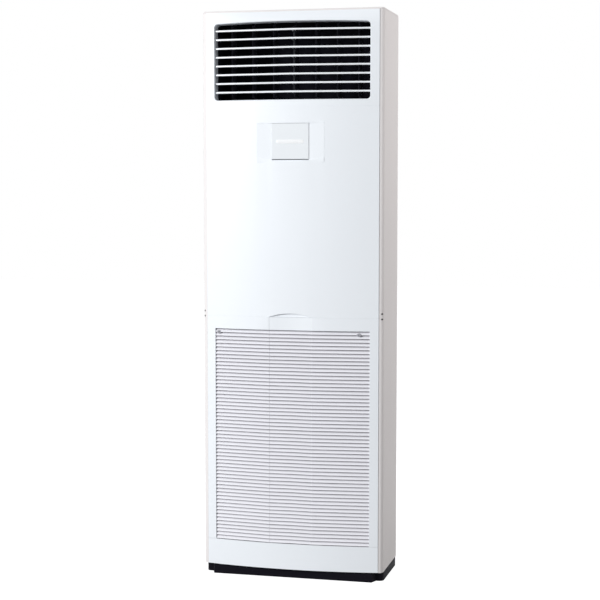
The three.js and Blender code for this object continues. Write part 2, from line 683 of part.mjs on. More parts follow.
// The duct turns the air from upwards to forwards. It is open at the front and below its rear half.
function outletDuct() {
  const floorBack = DUCT_FRONT + DUCT_FLOOR_DEPTH;
  const rear = BACK - 21;
  const mouth = OUTLET_BOTTOM - 56;
  const turn = arc([0, DUCT_TOP - 100], 100, 90, 0, 5).map(([y, z]) => [y + rear - 100, z]);
  const inner = [
    [DUCT_FRONT - 1, DUCT_FLOOR],
    [floorBack, DUCT_FLOOR],
    [floorBack, mouth - 1],
    [rear, mouth - 1],
    ...turn.reverse(),
    [DUCT_FRONT - 1, DUCT_TOP],
  ];
  const outerTurn = arc([0, DUCT_TOP - 100], 100 + DUCT_WALL, 90, 0, 5).map(([y, z]) => [y + rear - 100, z]);
  const outer = [
    [DUCT_FRONT, DUCT_FLOOR - DUCT_WALL],
    [floorBack - DUCT_WALL, DUCT_FLOOR - DUCT_WALL],
    [floorBack - DUCT_WALL, mouth],
    [rear + DUCT_WALL, mouth],
    ...outerTurn.reverse(),
    [DUCT_FRONT, DUCT_TOP + DUCT_WALL],
  ];
  const bearing = BLADE_PIN_RADIUS + PIN_CLEARANCE;
  const pinHoles = vaneStations().map((x) =>
    rod("z", bearing, DUCT_FLOOR - DUCT_WALL - 1, DUCT_TOP + DUCT_WALL + 1, [x, VANE_AXIS_Y]),
  );
  const walls = sideSolid(outer, -DUCT_HALF - DUCT_WALL, DUCT_HALF + DUCT_WALL);
  return cut(walls, sideSolid(inner, -DUCT_HALF, DUCT_HALF), ...pinHoles);
}

// A vane about its own upright axis. The driven one has a longer lower pin, which enters the motor.
function vane(driven) {
  const bottom = DUCT_FLOOR + LINK_THICKNESS + 2 * VANE_HEADROOM / 3;
  const top = DUCT_TOP - VANE_HEADROOM;
  const thick = VANE_THICKNESS / 2;
  const section = [
    [-thick / 2, -VANE_FRONT_CHORD],
    [thick / 2, -VANE_FRONT_CHORD],
    [thick, VANE_REAR_CHORD],
    [-thick, VANE_REAR_CHORD],
  ];
  const pinEnd = DUCT_FLOOR - DUCT_WALL - (driven ? MOTOR_HEIGHT / 2 : -SEAT);
  return join(
    planSolid(section, bottom, top),
    rod("z", BLADE_PIN_RADIUS, pinEnd, bottom + 4, [0, 0]),
    rod("z", BLADE_PIN_RADIUS, top - 4, DUCT_TOP + DUCT_WALL - SEAT, [0, 0]),
    rod("z", LINK_PIN_RADIUS, DUCT_FLOOR + 2 * SEAT, bottom + 4, [0, VANE_LINK_ARM]),
  );
}

// The level link just over the duct's floor, with a hole for each vane's pin.
function vaneLink() {
  const y = VANE_AXIS_Y + VANE_LINK_ARM;
  const holeHalf = LINK_PIN_RADIUS + LINK_PLAY;
  const reach = (VANE_PITCH * (VANE_COUNT - 1)) / 2 + VANE_PITCH / 5;
  const z0 = DUCT_FLOOR + SEAT;
  const holes = vaneStations().map((x) =>
    box(x - holeHalf, x + holeHalf, y - holeHalf, y + holeHalf, z0 - 1, z0 + LINK_THICKNESS + 1),
  );
  const bar = box(-reach, reach, y - LINK_DEPTH / 2, y + LINK_DEPTH / 2, z0, z0 + LINK_THICKNESS);
  return cut(bar, ...holes);
}

function swingMotor() {
  const top = DUCT_FLOOR - DUCT_WALL - SEAT;
  const x = vaneStations().at(-1);
  const body = rod("z", MOTOR_RADIUS, top - MOTOR_HEIGHT, top, [x, VANE_AXIS_Y], 16);
  const earReach = MOTOR_RADIUS * 1.5;
  const ears = box(x - earReach, x + earReach, VANE_AXIS_Y - 4, VANE_AXIS_Y + 4, top - 1.2, top);
  const radius = BLADE_PIN_RADIUS + PIN_CLEARANCE;
  const bore = rod("z", radius, top - MOTOR_HEIGHT * 0.6, top + 1, [x, VANE_AXIS_Y]);
  const screwHoles = [-1, 1].map((side) =>
    rod("z", 1.7, top - 2, top + 1, [x + side * MOTOR_RADIUS * 1.25, VANE_AXIS_Y], 6),
  );
  return cut(join(body, ears), bore, ...screwHoles);
}

// ---------------------------------------------------------------- upper panel, controller and cover

// The panel's flat recess fades out at its sides, where its plane meets the bow.
function upperPanel() {
  const bottom = LOWER_SEAM + SEAM / 2;
  const recessHalf = RECESS_WIDTH / 2;
  const recessTop = COVER_TOP + COVER_GAP;
  const arch = (x) => RECESS_SAG * (x / recessHalf) ** 2;
  const lowerEdge = evenly(-recessHalf, recessHalf, 6).map((x) => [x, RECESS_BOTTOM + arch(x)]);
  const recessOutline = [...lowerEdge, [recessHalf, recessTop], [-recessHalf, recessTop]];
  const recess = frontSolid(recessOutline, FRONT - 1, RECESS_Y);
  const backing = box(
    -recessHalf,
    recessHalf,
    RECESS_Y - 1,
    RECESS_Y + PANEL_WALL,
    RECESS_BOTTOM - PANEL_WALL,
    recessTop + PANEL_WALL,
  );
  const windowHalf = COVER_WIDTH / 2 + COVER_GAP;
  const windowBack = RECESS_Y + PANEL_WALL + 1;
  const window = box(-windowHalf, windowHalf, FRONT - 1, windowBack, COVER_BOTTOM - COVER_SWEEP, recessTop);
  const gripTop = (x) => bottom + GRIP_RISE * (1 - (x / CHANNEL_HALF) ** 2);
  const gripEdge = evenly(-CHANNEL_HALF, CHANNEL_HALF, 8).map((x) => [x, gripTop(x)]);
  const gripOutline = [[-CHANNEL_HALF, bottom - 1], [CHANNEL_HALF, bottom - 1], ...gripEdge.reverse()];
  const grip = frontSolid(gripOutline, FRONT - 1, RETURN_BACK + 1);
  return cut(join(frontShell(bottom, UPPER_SEAM - SEAM / 2), backing), recess, window, grip);
}

// Where each push button sits on the controller's face: name, x, height share, radius.
const BUTTONS = [
  ["button_power", -40, 0.3, BUTTON_BIG_RADIUS],
  ["button_mode", -16, 0.3, BUTTON_RADIUS],
  ["button_fan", 4, 0.3, BUTTON_RADIUS],
  ["button_down", 24, 0.3, BUTTON_RADIUS],
  ["button_up", 44, 0.3, BUTTON_RADIUS],
];
const buttonZ = (share) => COVER_BOTTOM + COVER_HEIGHT * share;
const DISPLAY_Z = COVER_BOTTOM + COVER_HEIGHT * 0.72;

function controllerBody() {
  const half = CONTROLLER_WIDTH / 2;
  const z0 = COVER_BOTTOM - COVER_SWEEP - PANEL_WALL;
  const z1 = COVER_TOP;
  const body = box(-half, half, CONTROLLER_FRONT, CONTROLLER_FRONT + CONTROLLER_DEPTH, z0, z1);
  const insetHalf = COVER_WIDTH / 2 + COVER_GAP;
  const face = box(-insetHalf, insetHalf, CONTROLLER_FRONT - 1, CONTROLLER_FACE, z0 + PANEL_WALL, z1 + 1);
  const pockets = BUTTONS.map(([, x, share, radius]) =>
    rod("y", radius + SEAT, CONTROLLER_FACE - 1, CONTROLLER_FACE + BUTTON_TRAVEL + 2, [x, buttonZ(share)], 8),
  );
  const glassPocket = box(
    -DISPLAY_WIDTH / 2 - SEAT,
    DISPLAY_WIDTH / 2 + SEAT,
    CONTROLLER_FACE - 1,
    CONTROLLER_FACE + 2,
    DISPLAY_Z - DISPLAY_HEIGHT / 2 - SEAT,
    DISPLAY_Z + DISPLAY_HEIGHT / 2 + SEAT,
  );
  const ears = [-1, 1].map((side) => {
    const x = side * (COVER_WIDTH / 2 - 5);
    const boss = rod("x", EAR_RADIUS, x - 1.5, x + 1.5, [COVER_AXIS_Y, COVER_AXIS_Z], 8);
    const stem = box(
      x - 1.5,
      x + 1.5,
      COVER_AXIS_Y,
      CONTROLLER_FACE + 1,
      COVER_AXIS_Z - EAR_RADIUS * 0.9,
      COVER_AXIS_Z + EAR_RADIUS * 0.9,
    );
    const bore = rod("x", COVER_PIN_RADIUS + 0.4, x - 2, x + 2, [COVER_AXIS_Y, COVER_AXIS_Z]);
    return cut(join(boss, stem), bore);
  });
  return join(cut(body, face, ...pockets, glassPocket), ...ears);
}

function displayWindow() {
  return box(
    -DISPLAY_WIDTH / 2,
    DISPLAY_WIDTH / 2,
    CONTROLLER_FACE - 0.5,
    CONTROLLER_FACE + 2 - SEAT,
    DISPLAY_Z - DISPLAY_HEIGHT / 2,
    DISPLAY_Z + DISPLAY_HEIGHT / 2,
  );
}

// A button in its pocket: its back stays clear of the pocket's floor by its travel.
function button(x, share, radius) {
  const front = CONTROLLER_FACE - BUTTON_PROUD;
  const cap = rod("y", radius, front + 0.8, CONTROLLER_FACE + 2 - SEAT, [x, buttonZ(share)], 8);
  const crown = rod("y", radius - 0.8, front, CONTROLLER_FACE, [x, buttonZ(share)], 8);
  return join(cap, crown);
}

// The cover about its hinge axis: a flat plate with a raised band, two knuckles and their pins.
function controlCover() {
  const half = COVER_WIDTH / 2;
  const front = -COVER_AXIS_DEPTH;
  const back = front + COVER_THICKNESS;
  const plate = box(-half, half, front, back, -COVER_AXIS_RISE, COVER_HEIGHT - COVER_AXIS_RISE);
  const pieces = [-1, 1].flatMap((side) => {
    const outer = half - 7;
    const inner = outer - 6;
    const knuckle = join(
      box(...[side * inner, side * outer].sort((a, b) => a - b), back - 0.2, 0, -1.7, 1.7),
      rod("x", 1.8, ...[side * inner, side * outer].sort((a, b) => a - b), [0, 0]),
    );
    const pinEnds = [side * (outer - 1), side * (outer + 3.3)].sort((a, b) => a - b);
    const pin = rod("x", COVER_PIN_RADIUS, ...pinEnds, [0, 0]);
    return [knuckle, pin];
  });
  return join(plate, ...pieces);
}

// ---------------------------------------------------------------- intake grille and its hinge

// The scooped channel down the middle of the grille.
const channelY = (x) => {
  const edge = faceY(CHANNEL_HALF);
  return edge + (FRONT + CHANNEL_DEPTH - edge) * (1 - (x / CHANNEL_HALF) ** 2);
};
const slatY = (x) => (Math.abs(x) < CHANNEL_HALF ? channelY(x) : faceY(x));

function intakeGrille() {
  const windowTop = SLOT_TOP_Z + SLOT_LIP;
  const windowBottom = SLOT_BOTTOM_Z - SLOT_LIP;
  const rimDepth = SLAT_LEAN + SLAT_THICKNESS + 1;
  const behindTop = windowTop + SLAT_THICKNESS + PANEL_WALL;

  // A rim behind the window's edges carries the slats' ends. It stands higher than the window,
  // so that the topmost slat passes up behind the face.
  const rimHalf = SLOT_HALF + RIM_WALL;
  const bowed = (half, near, far) => {
    const stations = evenly(-half, half, BOW_STEPS);
    return [...stations.map((x) => [x, near(x)]), ...stations.reverse().map((x) => [x, far(x)])];
  };
  const rimOutline = bowed(rimHalf, (x) => faceY(x) + 1, (x) => faceY(x) + rimDepth);
  const rim = planSolid(rimOutline, windowBottom - SLOT_PITCH, behindTop + RIM_WALL);
  const window = box(-SLOT_HALF, SLOT_HALF, FRONT - 1, RETURN_BACK + 1, windowBottom, windowTop);
  const lipBack = (x) => slatY(x) + PANEL_WALL + 1;
  const behindLip = planSolid(bowed(SLOT_HALF, lipBack, () => RETURN_BACK + 1), windowTop - 1, behindTop);

  // The channel runs on above the window up to the finger grip, with its own wall behind it.
  const scoop = evenly(-CHANNEL_HALF, CHANNEL_HALF, 6).map((x) => [x, channelY(x)]);
  const scoopOutline = [...scoop, [CHANNEL_HALF, FRONT - 1], [-CHANNEL_HALF, FRONT - 1]];
  const scoopCut = planSolid(scoopOutline, windowTop - 1, GRILLE_TOP + 1);
  const backed = evenly(-CHANNEL_HALF - 4, CHANNEL_HALF + 4, 6);
  const backing = planSolid(
    [...backed.map((x) => [x, faceY(x) + 1]), ...backed.reverse().map((x) => [x, slatY(x) + PANEL_WALL + 1])],
    windowTop,
    GRILLE_TOP,
  );

  // Each slat leans back from its lower edge and reaches up behind the next one, so that the air
  // goes in and up between them while nothing is seen through. The last one backs the sill.
  const reach = SLOT_PITCH + SLAT_LAP;
  const section = [
    [0, 0],
    [SLAT_THICKNESS, 0],
    [SLAT_LEAN + SLAT_THICKNESS, reach],
    [SLAT_LEAN, reach],
  ];
  const ends = SLOT_HALF + RIM_WALL / 2;
  const slatStations = [-ends, -CHANNEL_HALF, 0, CHANNEL_HALF, ends];
  const slats = Array.from({ length: SLOT_COUNT }, (_, i) => {
    const foot = SLOT_TOP_Z + SLOT_LIP - (i + 1) * SLOT_PITCH;
    return sweepAcross(section.map(([y, dz]) => [y + SLAT_INSET, foot + dz]), slatStations, slatY);
  });

  // Knuckles that turn on the hinge pins, and the notches in the lower return that the
  // brackets reach through.
  const hinges = [-1, 1].map((side) => {
    const edges = [-1, 1].map((end) => side * HINGE_X + (end * KNUCKLE_LENGTH) / 2);
    const front = faceY(HINGE_X) + PANEL_WALL - 1;
    return box(...edges, front, HINGE_AXIS_Y + 5, HINGE_AXIS_Z - 5, HINGE_AXIS_Z + 5);
  });
  const pinHoles = [-1, 1].map((side) => {
    const edges = [side * (HINGE_X - 12), side * (HINGE_X + 12)].sort((a, b) => a - b);
    return rod("x", HINGE_PIN_RADIUS + PIN_CLEARANCE, ...edges, [HINGE_AXIS_Y, HINGE_AXIS_Z]);
  });
  const notches = [-1, 1].map((side) => {
    const ends = [side * (HINGE_X - KNUCKLE_LENGTH), side * (HINGE_X + 2 * KNUCKLE_LENGTH)];
    const edges = ends.sort((a, b) => a - b);
    const front = faceY(HINGE_X) + PANEL_WALL + 0.5;
    return box(...edges, front, RETURN_BACK + 1, GRILLE_BOTTOM - 1, GRILLE_BOTTOM + PANEL_WALL + 1);
  });
  const panel = join(cut(frontShell(GRILLE_BOTTOM, GRILLE_TOP), ...notches), rim, backing, ...hinges);
  return join(cut(panel, window, behindLip, scoopCut, ...pinHoles), ...slats);
}

// A steel bracket on the base that carries the grille's hinge pin.
function hingeBracket(side) {
  const rear = BASE_FRONT + 34;
  const profile = [
    [rear, PLINTH],
    [BASE_FRONT + 4, PLINTH],
    [BASE_FRONT - 2, HINGE_AXIS_Z - 6],
    [HINGE_AXIS_Y + 2, HINGE_AXIS_Z - 6],
    [HINGE_AXIS_Y - 2.6, HINGE_AXIS_Z - 3],
    [HINGE_AXIS_Y - 2.6, HINGE_AXIS_Z + 3],
    [HINGE_AXIS_Y + 2, HINGE_AXIS_Z + 5.5],
    [BASE_FRONT, HINGE_AXIS_Z + 5.5],
    [BASE_FRONT + 9, PLINTH + 3],
    [rear, PLINTH + 3],
  ];
  const inner = HINGE_X + KNUCKLE_LENGTH / 2 + SEAT;
  const between = (a, b) => [side * a, side * b].sort((p, q) => p - q);
  const plate = sideSolid(profile, ...between(inner, inner + BRACKET_PLATE));
  const foot = box(...between(inner, inner + 5 * BRACKET_PLATE), BASE_FRONT + 9, rear, PLINTH, PLINTH + 2);
  const pinEnds = between(HINGE_X - KNUCKLE_LENGTH / 2 - 1, inner + 1);
  const pin = rod("x", HINGE_PIN_RADIUS, ...pinEnds, [HINGE_AXIS_Y, HINGE_AXIS_Z]);
  return join(plate, foot, pin);
}

// ---------------------------------------------------------------- air filter and rails

function airFilter() {
  const half = FILTER_HALF;
  const back = FILTER_FRONT + FILTER_THICKNESS;
  const slab = box(-half, half, FILTER_FRONT, back, FILTER_BOTTOM, FILTER_TOP);
  const columns = 3;
  const rows = 5;
  const cellWidth = (2 * half - FILTER_FRAME) / columns;
  const cellHeight = (FILTER_TOP - FILTER_BOTTOM - FILTER_FRAME) / rows;
  const mesh = 0.8; // the net left at the back of each cell
  const cells = [];
  for (let column = 0; column < columns; column++)
    for (let row = 0; row < rows; row++) {
      const x = -half + FILTER_FRAME + column * cellWidth;
      const z = FILTER_BOTTOM + FILTER_FRAME + row * cellHeight;
      const right = x + cellWidth - FILTER_FRAME;
      cells.push(box(x, right, FILTER_FRONT - 1, back - mesh, z, z + cellHeight - FILTER_FRAME));
    }
  return cut(slab, ...cells);
}

function filterRail(side) {
  const outer = HALF - CORNER_RADIUS - SEAT;
  const inner = FILTER_HALF - RAIL_LAP;
  const channel = FILTER_HALF + FILTER_PLAY;
  const y0 = FILTER_FRONT - FILTER_PLAY;
  const y1 = FILTER_FRONT + FILTER_THICKNESS + FILTER_PLAY;
  const outline = [
    [inner, y0 - RAIL_WALL],
    [outer, y0 - RAIL_WALL],
    [outer, y1 + RAIL_WALL],
    [inner, y1 + RAIL_WALL],
    [inner, y1],
    [channel, y1],
    [channel, y0],
    [inner, y0],
  ];
  const foot = FILTER_BOTTOM - SEAT;
  const block = [
    [inner, y0 - RAIL_WALL],
    [outer, y0 - RAIL_WALL],
    [outer, y1 + RAIL_WALL],
    [inner, y1 + RAIL_WALL],
  ];
  return join(
    planSolid(mirrorX(outline, side), foot, DECK_Z - 4),
    planSolid(mirrorX(block, side), foot - 4, foot),
  );
}

// ---------------------------------------------------------------- deck and fan

function deck() {
  const back = BACK - SHEET - SEAT - SHEET - SEAT;
  const front = FRONT + DECK_SETBACK;
  const plate = box(-INSIDE, INSIDE, front, back, DECK_Z, DECK_Z + DECK_SHEET);
  const flanges = [-1, 1].map((side) =>
    box(
      ...[side * INSIDE, side * (INSIDE - DECK_SHEET)].sort((a, b) => a - b),
      front + 4,
      back - 4,
      DECK_Z - DECK_FLANGE,
      DECK_Z + 1,
    ),
  );
  const wall = SCROLL_SHEET + 2;
  const airHole = box(
    SCROLL_OUTLET_LEFT + wall,
    scrollRight() - wall,
    PAN_BACK + 4,
    SCROLL_BACK - wall,
    DECK_Z - 1,
    DECK_Z + DECK_SHEET + 1,
  );
  const pipeHole = box(
    scrollRight() - 24,
    HALF - 12,
    SCROLL_BACK,
    PIPE_RUN_Y + 2 * GAS_RADIUS,
    DECK_Z - 1,
    DECK_Z + DECK_SHEET + 1,
  );
  const drainHole = rod("z", DRAIN_RADIUS + 1, DECK_Z - 1, DECK_Z + DECK_SHEET + 1, [DRAIN_X, DRAIN_Y], 10);
  return cut(join(plate, ...flanges), airHole, pipeHole, drainHole);
}

const scrollRadius = (angle) => WHEEL_RADIUS + TONGUE_GAP + SCROLL_GROWTH * (angle - TONGUE_ANGLE);
const scrollRight = () => FAN_X + scrollRadius(360);

// The housing widens steadily round the wheel from its tongue, then runs straight up to the deck.
function scrollPath() {
  const top = DECK_Z + 2 * SCROLL_SHEET;
  const spiral = evenly(TONGUE_ANGLE, 360, 20).map((angle) => {
    const [[x, z]] = arc([FAN_X, FAN_Z], scrollRadius(angle), angle, angle, 1);
    return [x, z];
  });
  return [[SCROLL_OUTLET_LEFT, top], ...spiral, [scrollRight(), top]];
}

function fanScroll() {
  const path = scrollPath();
  const wall = frontSolid(ribbon(path, SCROLL_SHEET), SCROLL_FRONT, SCROLL_BACK);
  const front = frontSolid(path, SCROLL_FRONT, SCROLL_FRONT + SCROLL_SHEET);
  const back = frontSolid(path, SCROLL_BACK - SCROLL_SHEET, SCROLL_BACK);
  const middle = [FAN_X, FAN_Z];
  const inlet = rod("y", WHEEL_EYE + 2, SCROLL_FRONT - 1, SCROLL_FRONT + SCROLL_SHEET + 1, middle, 24);
  const motorRoom = MOTOR_BODY_RADIUS + 6;
  const motorHole = rod("y", motorRoom, SCROLL_BACK - SCROLL_SHEET - 1, SCROLL_BACK + 1, middle, 16);
  const above = box(-HALF, HALF, SCROLL_FRONT - 1, SCROLL_BACK + 1, DECK_Z - SEAT, DECK_Z + DECK_FLANGE);
  return cut(join(wall, front, back), inlet, motorHole, above);
}

// The flared ring that leads the air into the wheel's eye.
function inletRing() {
  const seat = SCROLL_FRONT - SEAT;
  const lip = THROAT_RADIUS + 2;
  const end = WHEEL_FRONT - 2;
  return lathe([
    [WHEEL_EYE + 28, seat - 2],
    [WHEEL_EYE + 28, seat],
    [WHEEL_EYE - 1, seat],
    [lip, seat + 7],
    [lip, end],
    [THROAT_RADIUS, end],
    [THROAT_RADIUS, seat + 5],
    [THROAT_RADIUS + 7, seat - 2],
  ]);
}

function fanWheel() {
  const back = WHEEL_BACK;
  const dome = DOME_RADIUS;
  const hubFront = -12;
  const disc = -3;
  const hub = lathe([
    [SHAFT_RADIUS + 2 * SEAT, hubFront],
    [16, hubFront],
    [16, disc],
    [dome - 6, disc],
    [dome, disc + 6],
    [dome, back - WHEEL_PLATE],
    [WHEEL_RADIUS, back - WHEEL_PLATE],
    [WHEEL_RADIUS, back],
    [dome - WHEEL_PLATE, back],
    [dome - WHEEL_PLATE, disc + 8],
    [dome - 8, disc + WHEEL_PLATE],
    [SHAFT_RADIUS + 2 * SEAT, disc + WHEEL_PLATE],
  ]);
  const shroud = lathe([
    [WHEEL_EYE, WHEEL_FRONT],
    [WHEEL_RADIUS, WHEEL_FRONT],
    [WHEEL_RADIUS, WHEEL_FRONT + 3],
    [WHEEL_EYE, WHEEL_FRONT + 3],
  ]);
  const span = WHEEL_RADIUS - WHEEL_EYE;
  const curve = [[WHEEL_EYE + 1, 0], [WHEEL_EYE + span * 0.55, -4], [WHEEL_RADIUS - 1, 3]];
  const section = ribbon(curve, WHEEL_BLADE_THICKNESS);
  const blades = Array.from({ length: WHEEL_BLADES }, (_, i) => {
    const turn = (2 * Math.PI * i) / WHEEL_BLADES;
    const turned = section.map(([x, z]) => [
      x * Math.cos(turn) - z * Math.sin(turn),
      x * Math.sin(turn) + z * Math.cos(turn),
    ]);
    return frontSolid(turned, WHEEL_FRONT + 1, back - 1);
  });
  return join(hub, shroud, ...blades);
}

function motorShaft() {
  return rod("y", SHAFT_RADIUS, -20, MOTOR_BODY_FRONT + 12, [0, 0], 16);
}

function fanMotor() {
  const r = MOTOR_BODY_RADIUS;
  return lathe(
    [
      [0, MOTOR_BODY_FRONT + 14],
      [SHAFT_RADIUS + 2 * SEAT, MOTOR_BODY_FRONT + 14],
      [SHAFT_RADIUS + 2 * SEAT, MOTOR_BODY_FRONT - 6],
      [20, MOTOR_BODY_FRONT - 6],
      [20, MOTOR_BODY_FRONT],
      [r - 10, MOTOR_BODY_FRONT],
      [r, MOTOR_BODY_FRONT + 10],
      [r, MOTOR_BODY_BACK - 12],
      [r - 12, MOTOR_BODY_BACK],
      [0, MOTOR_BODY_BACK],
    ],
    16,
  );
}

// A hat-section strap behind the motor, with its feet on the housing's back.
function motorBracket() {
  const foot = SCROLL_BACK + SEAT;
  const crest = MOTOR_BODY_BACK + SEAT;
  const path = [
    [FAN_X + BRACKET_REACH, foot],
    [FAN_X + BRACKET_REACH - 55, foot],
    [FAN_X + BRACKET_REACH - 65, crest],
    [FAN_X - BRACKET_REACH + 65, crest],
    [FAN_X - BRACKET_REACH + 55, foot],
    [FAN_X - BRACKET_REACH, foot],
  ];
  return planSolid(ribbon(path, -SHEET), FAN_Z - BRACKET_HEIGHT / 2, FAN_Z + BRACKET_HEIGHT / 2);
}

// ---------------------------------------------------------------- coil, drain pan and pipes

// A half circle of tube out of one end of the coil and back into it.
function returnBend(side, row, along) {
  const curve = new THREE.CatmullRomCurve3(
    arc([0, 0], TUBE_PITCH / 2, -90, 90, 4).map(
      ([x, z]) => new THREE.Vector3(side * (COIL_HALF - 2 + x), row, along + z),
    ),
  );
  const corners = arc([0, 0], TUBE_RADIUS, 0, PENTAGON, 4);
  const section = new THREE.Shape(corners.map(([a, b]) => new THREE.Vector2(a, b)));
  return asSolid(new THREE.ExtrudeGeometry(section, { steps: 4, extrudePath: curve, bevelEnabled: false }));
}

function coil() {
  const thick = COIL_THICKNESS / 2;
  const fins = box(-COIL_HALF, COIL_HALF, -thick, thick, 0, COIL_LENGTH);
  const bends = [];
  for (const row of [-TUBE_ROW, TUBE_ROW])
    for (let tube = 0; tube + 1 < TUBE_COUNT; tube++) {
      const side = tube % 2 === 0 ? -1 : 1;
      bends.push(returnBend(side, row, TUBE_FIRST + (tube + 0.5) * TUBE_PITCH));
    }
  return join(fins, ...bends);
}

// The coil's end bracket: a plate with a window for the bends, and a baffle out to the side panel.
function coilBracket(side) {
  const thick = COIL_THICKNESS / 2;
  const inner = COIL_HALF + SEAT;
  const outer = inner + COIL_BRACKET;
  const foot = 14;
  const head = COIL_LENGTH - 5;
  const between = (a, b) => [side * a, side * b].sort((p, q) => p - q);
  const plate = box(...between(inner, outer), -thick, thick, foot, head);
  const window = box(...between(inner - 1, outer + 1), -thick + 3.5, thick - 3.5, foot + 8, head - 8);
  const baffle = box(...between(outer - 1, INSIDE), -thick, -thick + COIL_BRACKET, foot, head);
  return join(cut(plate, window), baffle);
}

function drainPan() {
  const top = PAN_BOTTOM + PAN_HEIGHT;
  const tray = box(-PAN_HALF, PAN_HALF, PAN_FRONT, PAN_BACK, PAN_BOTTOM, top);
  const hollow = box(
    -PAN_HALF + PAN_WALL,
    PAN_HALF - PAN_WALL,
    PAN_FRONT + PAN_WALL,
    PAN_BACK - PAN_WALL,
    PAN_BOTTOM + PAN_WALL,
    top + 1,
  );
  const drain = rod("z", DRAIN_BORE, PAN_BOTTOM - 1, PAN_BOTTOM + PAN_WALL + 1, [DRAIN_X, DRAIN_Y], 12);
  return cut(tray, hollow, drain);
}

// The drain socket hangs under the deck and takes a hose over its lower end.
function drainSocket() {
  const top = DECK_Z + DECK_SHEET;
  const tube = rod("z", DRAIN_RADIUS, top - DRAIN_LENGTH, top, [DRAIN_X, DRAIN_Y], 10);
  const flange = rod("z", DRAIN_RADIUS + 4, DECK_Z - SEAT - 3, DECK_Z - SEAT, [DRAIN_X, DRAIN_Y], 10);
  const bore = rod("z", DRAIN_BORE, top - DRAIN_LENGTH - 1, top + 1, [DRAIN_X, DRAIN_Y], 10);
  return cut(join(tube, flange), bore);
}

// A point of the leaning coil, given in the coil's own frame, in the cabinet's.
function fromCoil(x, y, along) {
  return new THREE.Vector3(x, y, along)
    .applyAxisAngle(AXIS_X, -COIL_LEAN)
    .add(new THREE.Vector3(0, COIL_FOOT_Y, COIL_FOOT_Z));
}

// A pipe along smooth bends, with a flare nut where it leaves through the back.
function pipe(route, radius) {
  const corners = arc([0, 0], radius, 0, PENTAGON, 4);
  const section = new THREE.Shape(corners.map(([a, b]) => new THREE.Vector2(a, b)));
  const curve = new THREE.CatmullRomCurve3(route, false, "centripetal");
  const settings = { steps: PIPE_STEPS, extrudePath: curve, bevelEnabled: false };
  const run = new THREE.ExtrudeGeometry(section, settings);
  const end = route.at(-1);
  const nut = rod("y", radius * NUT_SHARE, end.y - NUT_LENGTH, end.y, [end.x, end.z], 6);
  const around = 3 * radius;
  const beyond = box(end.x - around, end.x + around, end.y - 1, end.y + 9, end.z - around, end.z + around);
  return join(cut(asSolid(run), beyond), nut);
}

function gasPipe() {
  const start = fromCoil(COIL_HALF + SEAT, TUBE_ROW, TUBE_FIRST + (TUBE_COUNT - 1) * TUBE_PITCH);
  const run = HALF - 24;
  return pipe(
    [
      start,
      new THREE.Vector3(start.x + GAS_RADIUS, start.y, start.z),
      new THREE.Vector3(run - 12, start.y + 2, start.z - 8),
      new THREE.Vector3(run, PIPE_RUN_Y - 4, start.z - 50),
      new THREE.Vector3(run, PIPE_RUN_Y, start.z - 140),
      new THREE.Vector3(run, PIPE_RUN_Y, DECK_Z - PIPE_BEND),
      new THREE.Vector3(run, PIPE_RUN_Y, PIPE_EXIT_Z + PIPE_BEND),
      new THREE.Vector3(PIPE_EXIT_X + 10, PIPE_RUN_Y, PIPE_EXIT_Z + 70),
      new THREE.Vector3(PIPE_EXIT_X, PIPE_RUN_Y - 1, PIPE_EXIT_Z + 28),
      new THREE.Vector3(PIPE_EXIT_X, PIPE_RUN_Y + 4, PIPE_EXIT_Z + 7),
      new THREE.Vector3(PIPE_EXIT_X, BACK - 0.5, PIPE_EXIT_Z),
    ],
    GAS_RADIUS,
  );
}

function liquidPipe() {
  const start = fromCoil(COIL_HALF + SEAT, -TUBE_ROW, TUBE_FIRST);
  const x = PIPE_EXIT_X - PIPE_SPACING;
  const run = HALF - 50;
  return pipe(
    [
      start,
      new THREE.Vector3(start.x + LIQUID_RADIUS, start.y, start.z),
      new THREE.Vector3(run + 2, start.y + 14, start.z),
      new THREE.Vector3(run + 6, 0, start.z + 4),
      new THREE.Vector3(run + 2, PIPE_RUN_Y - 14, start.z),
      new THREE.Vector3(run, PIPE_RUN_Y, start.z - 60),
      new THREE.Vector3(run, PIPE_RUN_Y, DECK_Z - PIPE_BEND),
      new THREE.Vector3(run, PIPE_RUN_Y, PIPE_EXIT_Z + PIPE_BEND),
      new THREE.Vector3(x + 10, PIPE_RUN_Y, PIPE_EXIT_Z + 60),
      new THREE.Vector3(x, PIPE_RUN_Y, PIPE_EXIT_Z + 24),
      new THREE.Vector3(x, PIPE_RUN_Y + 5, PIPE_EXIT_Z + 5),
      new THREE.Vector3(x, BACK - 0.5, PIPE_EXIT_Z),
    ],
    LIQUID_RADIUS,
  );
}

// ---------------------------------------------------------------- electrical box

function electricalBox() {
  const outer = box(-INSIDE, BOX_RIGHT, BOX_FRONT, BOX_BACK, BOX_BOTTOM, BOX_TOP);
  const inner = box(
    -INSIDE + BOX_SHEET,
    BOX_RIGHT - BOX_SHEET,
    BOX_FRONT - 1,
    BOX_BACK - BOX_SHEET,
    BOX_BOTTOM + BOX_SHEET,
    BOX_TOP - BOX_SHEET,
  );
  return cut(outer, inner);
}

function electricalCover() {
  const back = BOX_FRONT - SEAT;
  const plate = box(-INSIDE, BOX_RIGHT, back - BOX_SHEET, back, BOX_BOTTOM, BOX_TOP);
  const tabBottom = BOX_BOTTOM + 30;
  const tabTop = BOX_TOP - 30;
  const tabLeft = BOX_RIGHT + SEAT;
  const front = back - BOX_SHEET;
  const tab = box(tabLeft, tabLeft + BOX_SHEET, front, BOX_FRONT + 12, tabBottom, tabTop);
  const bridge = box(BOX_RIGHT - 2, tabLeft + BOX_SHEET, front, back, tabBottom, tabTop);
  return join(plate, bridge, tab);
}

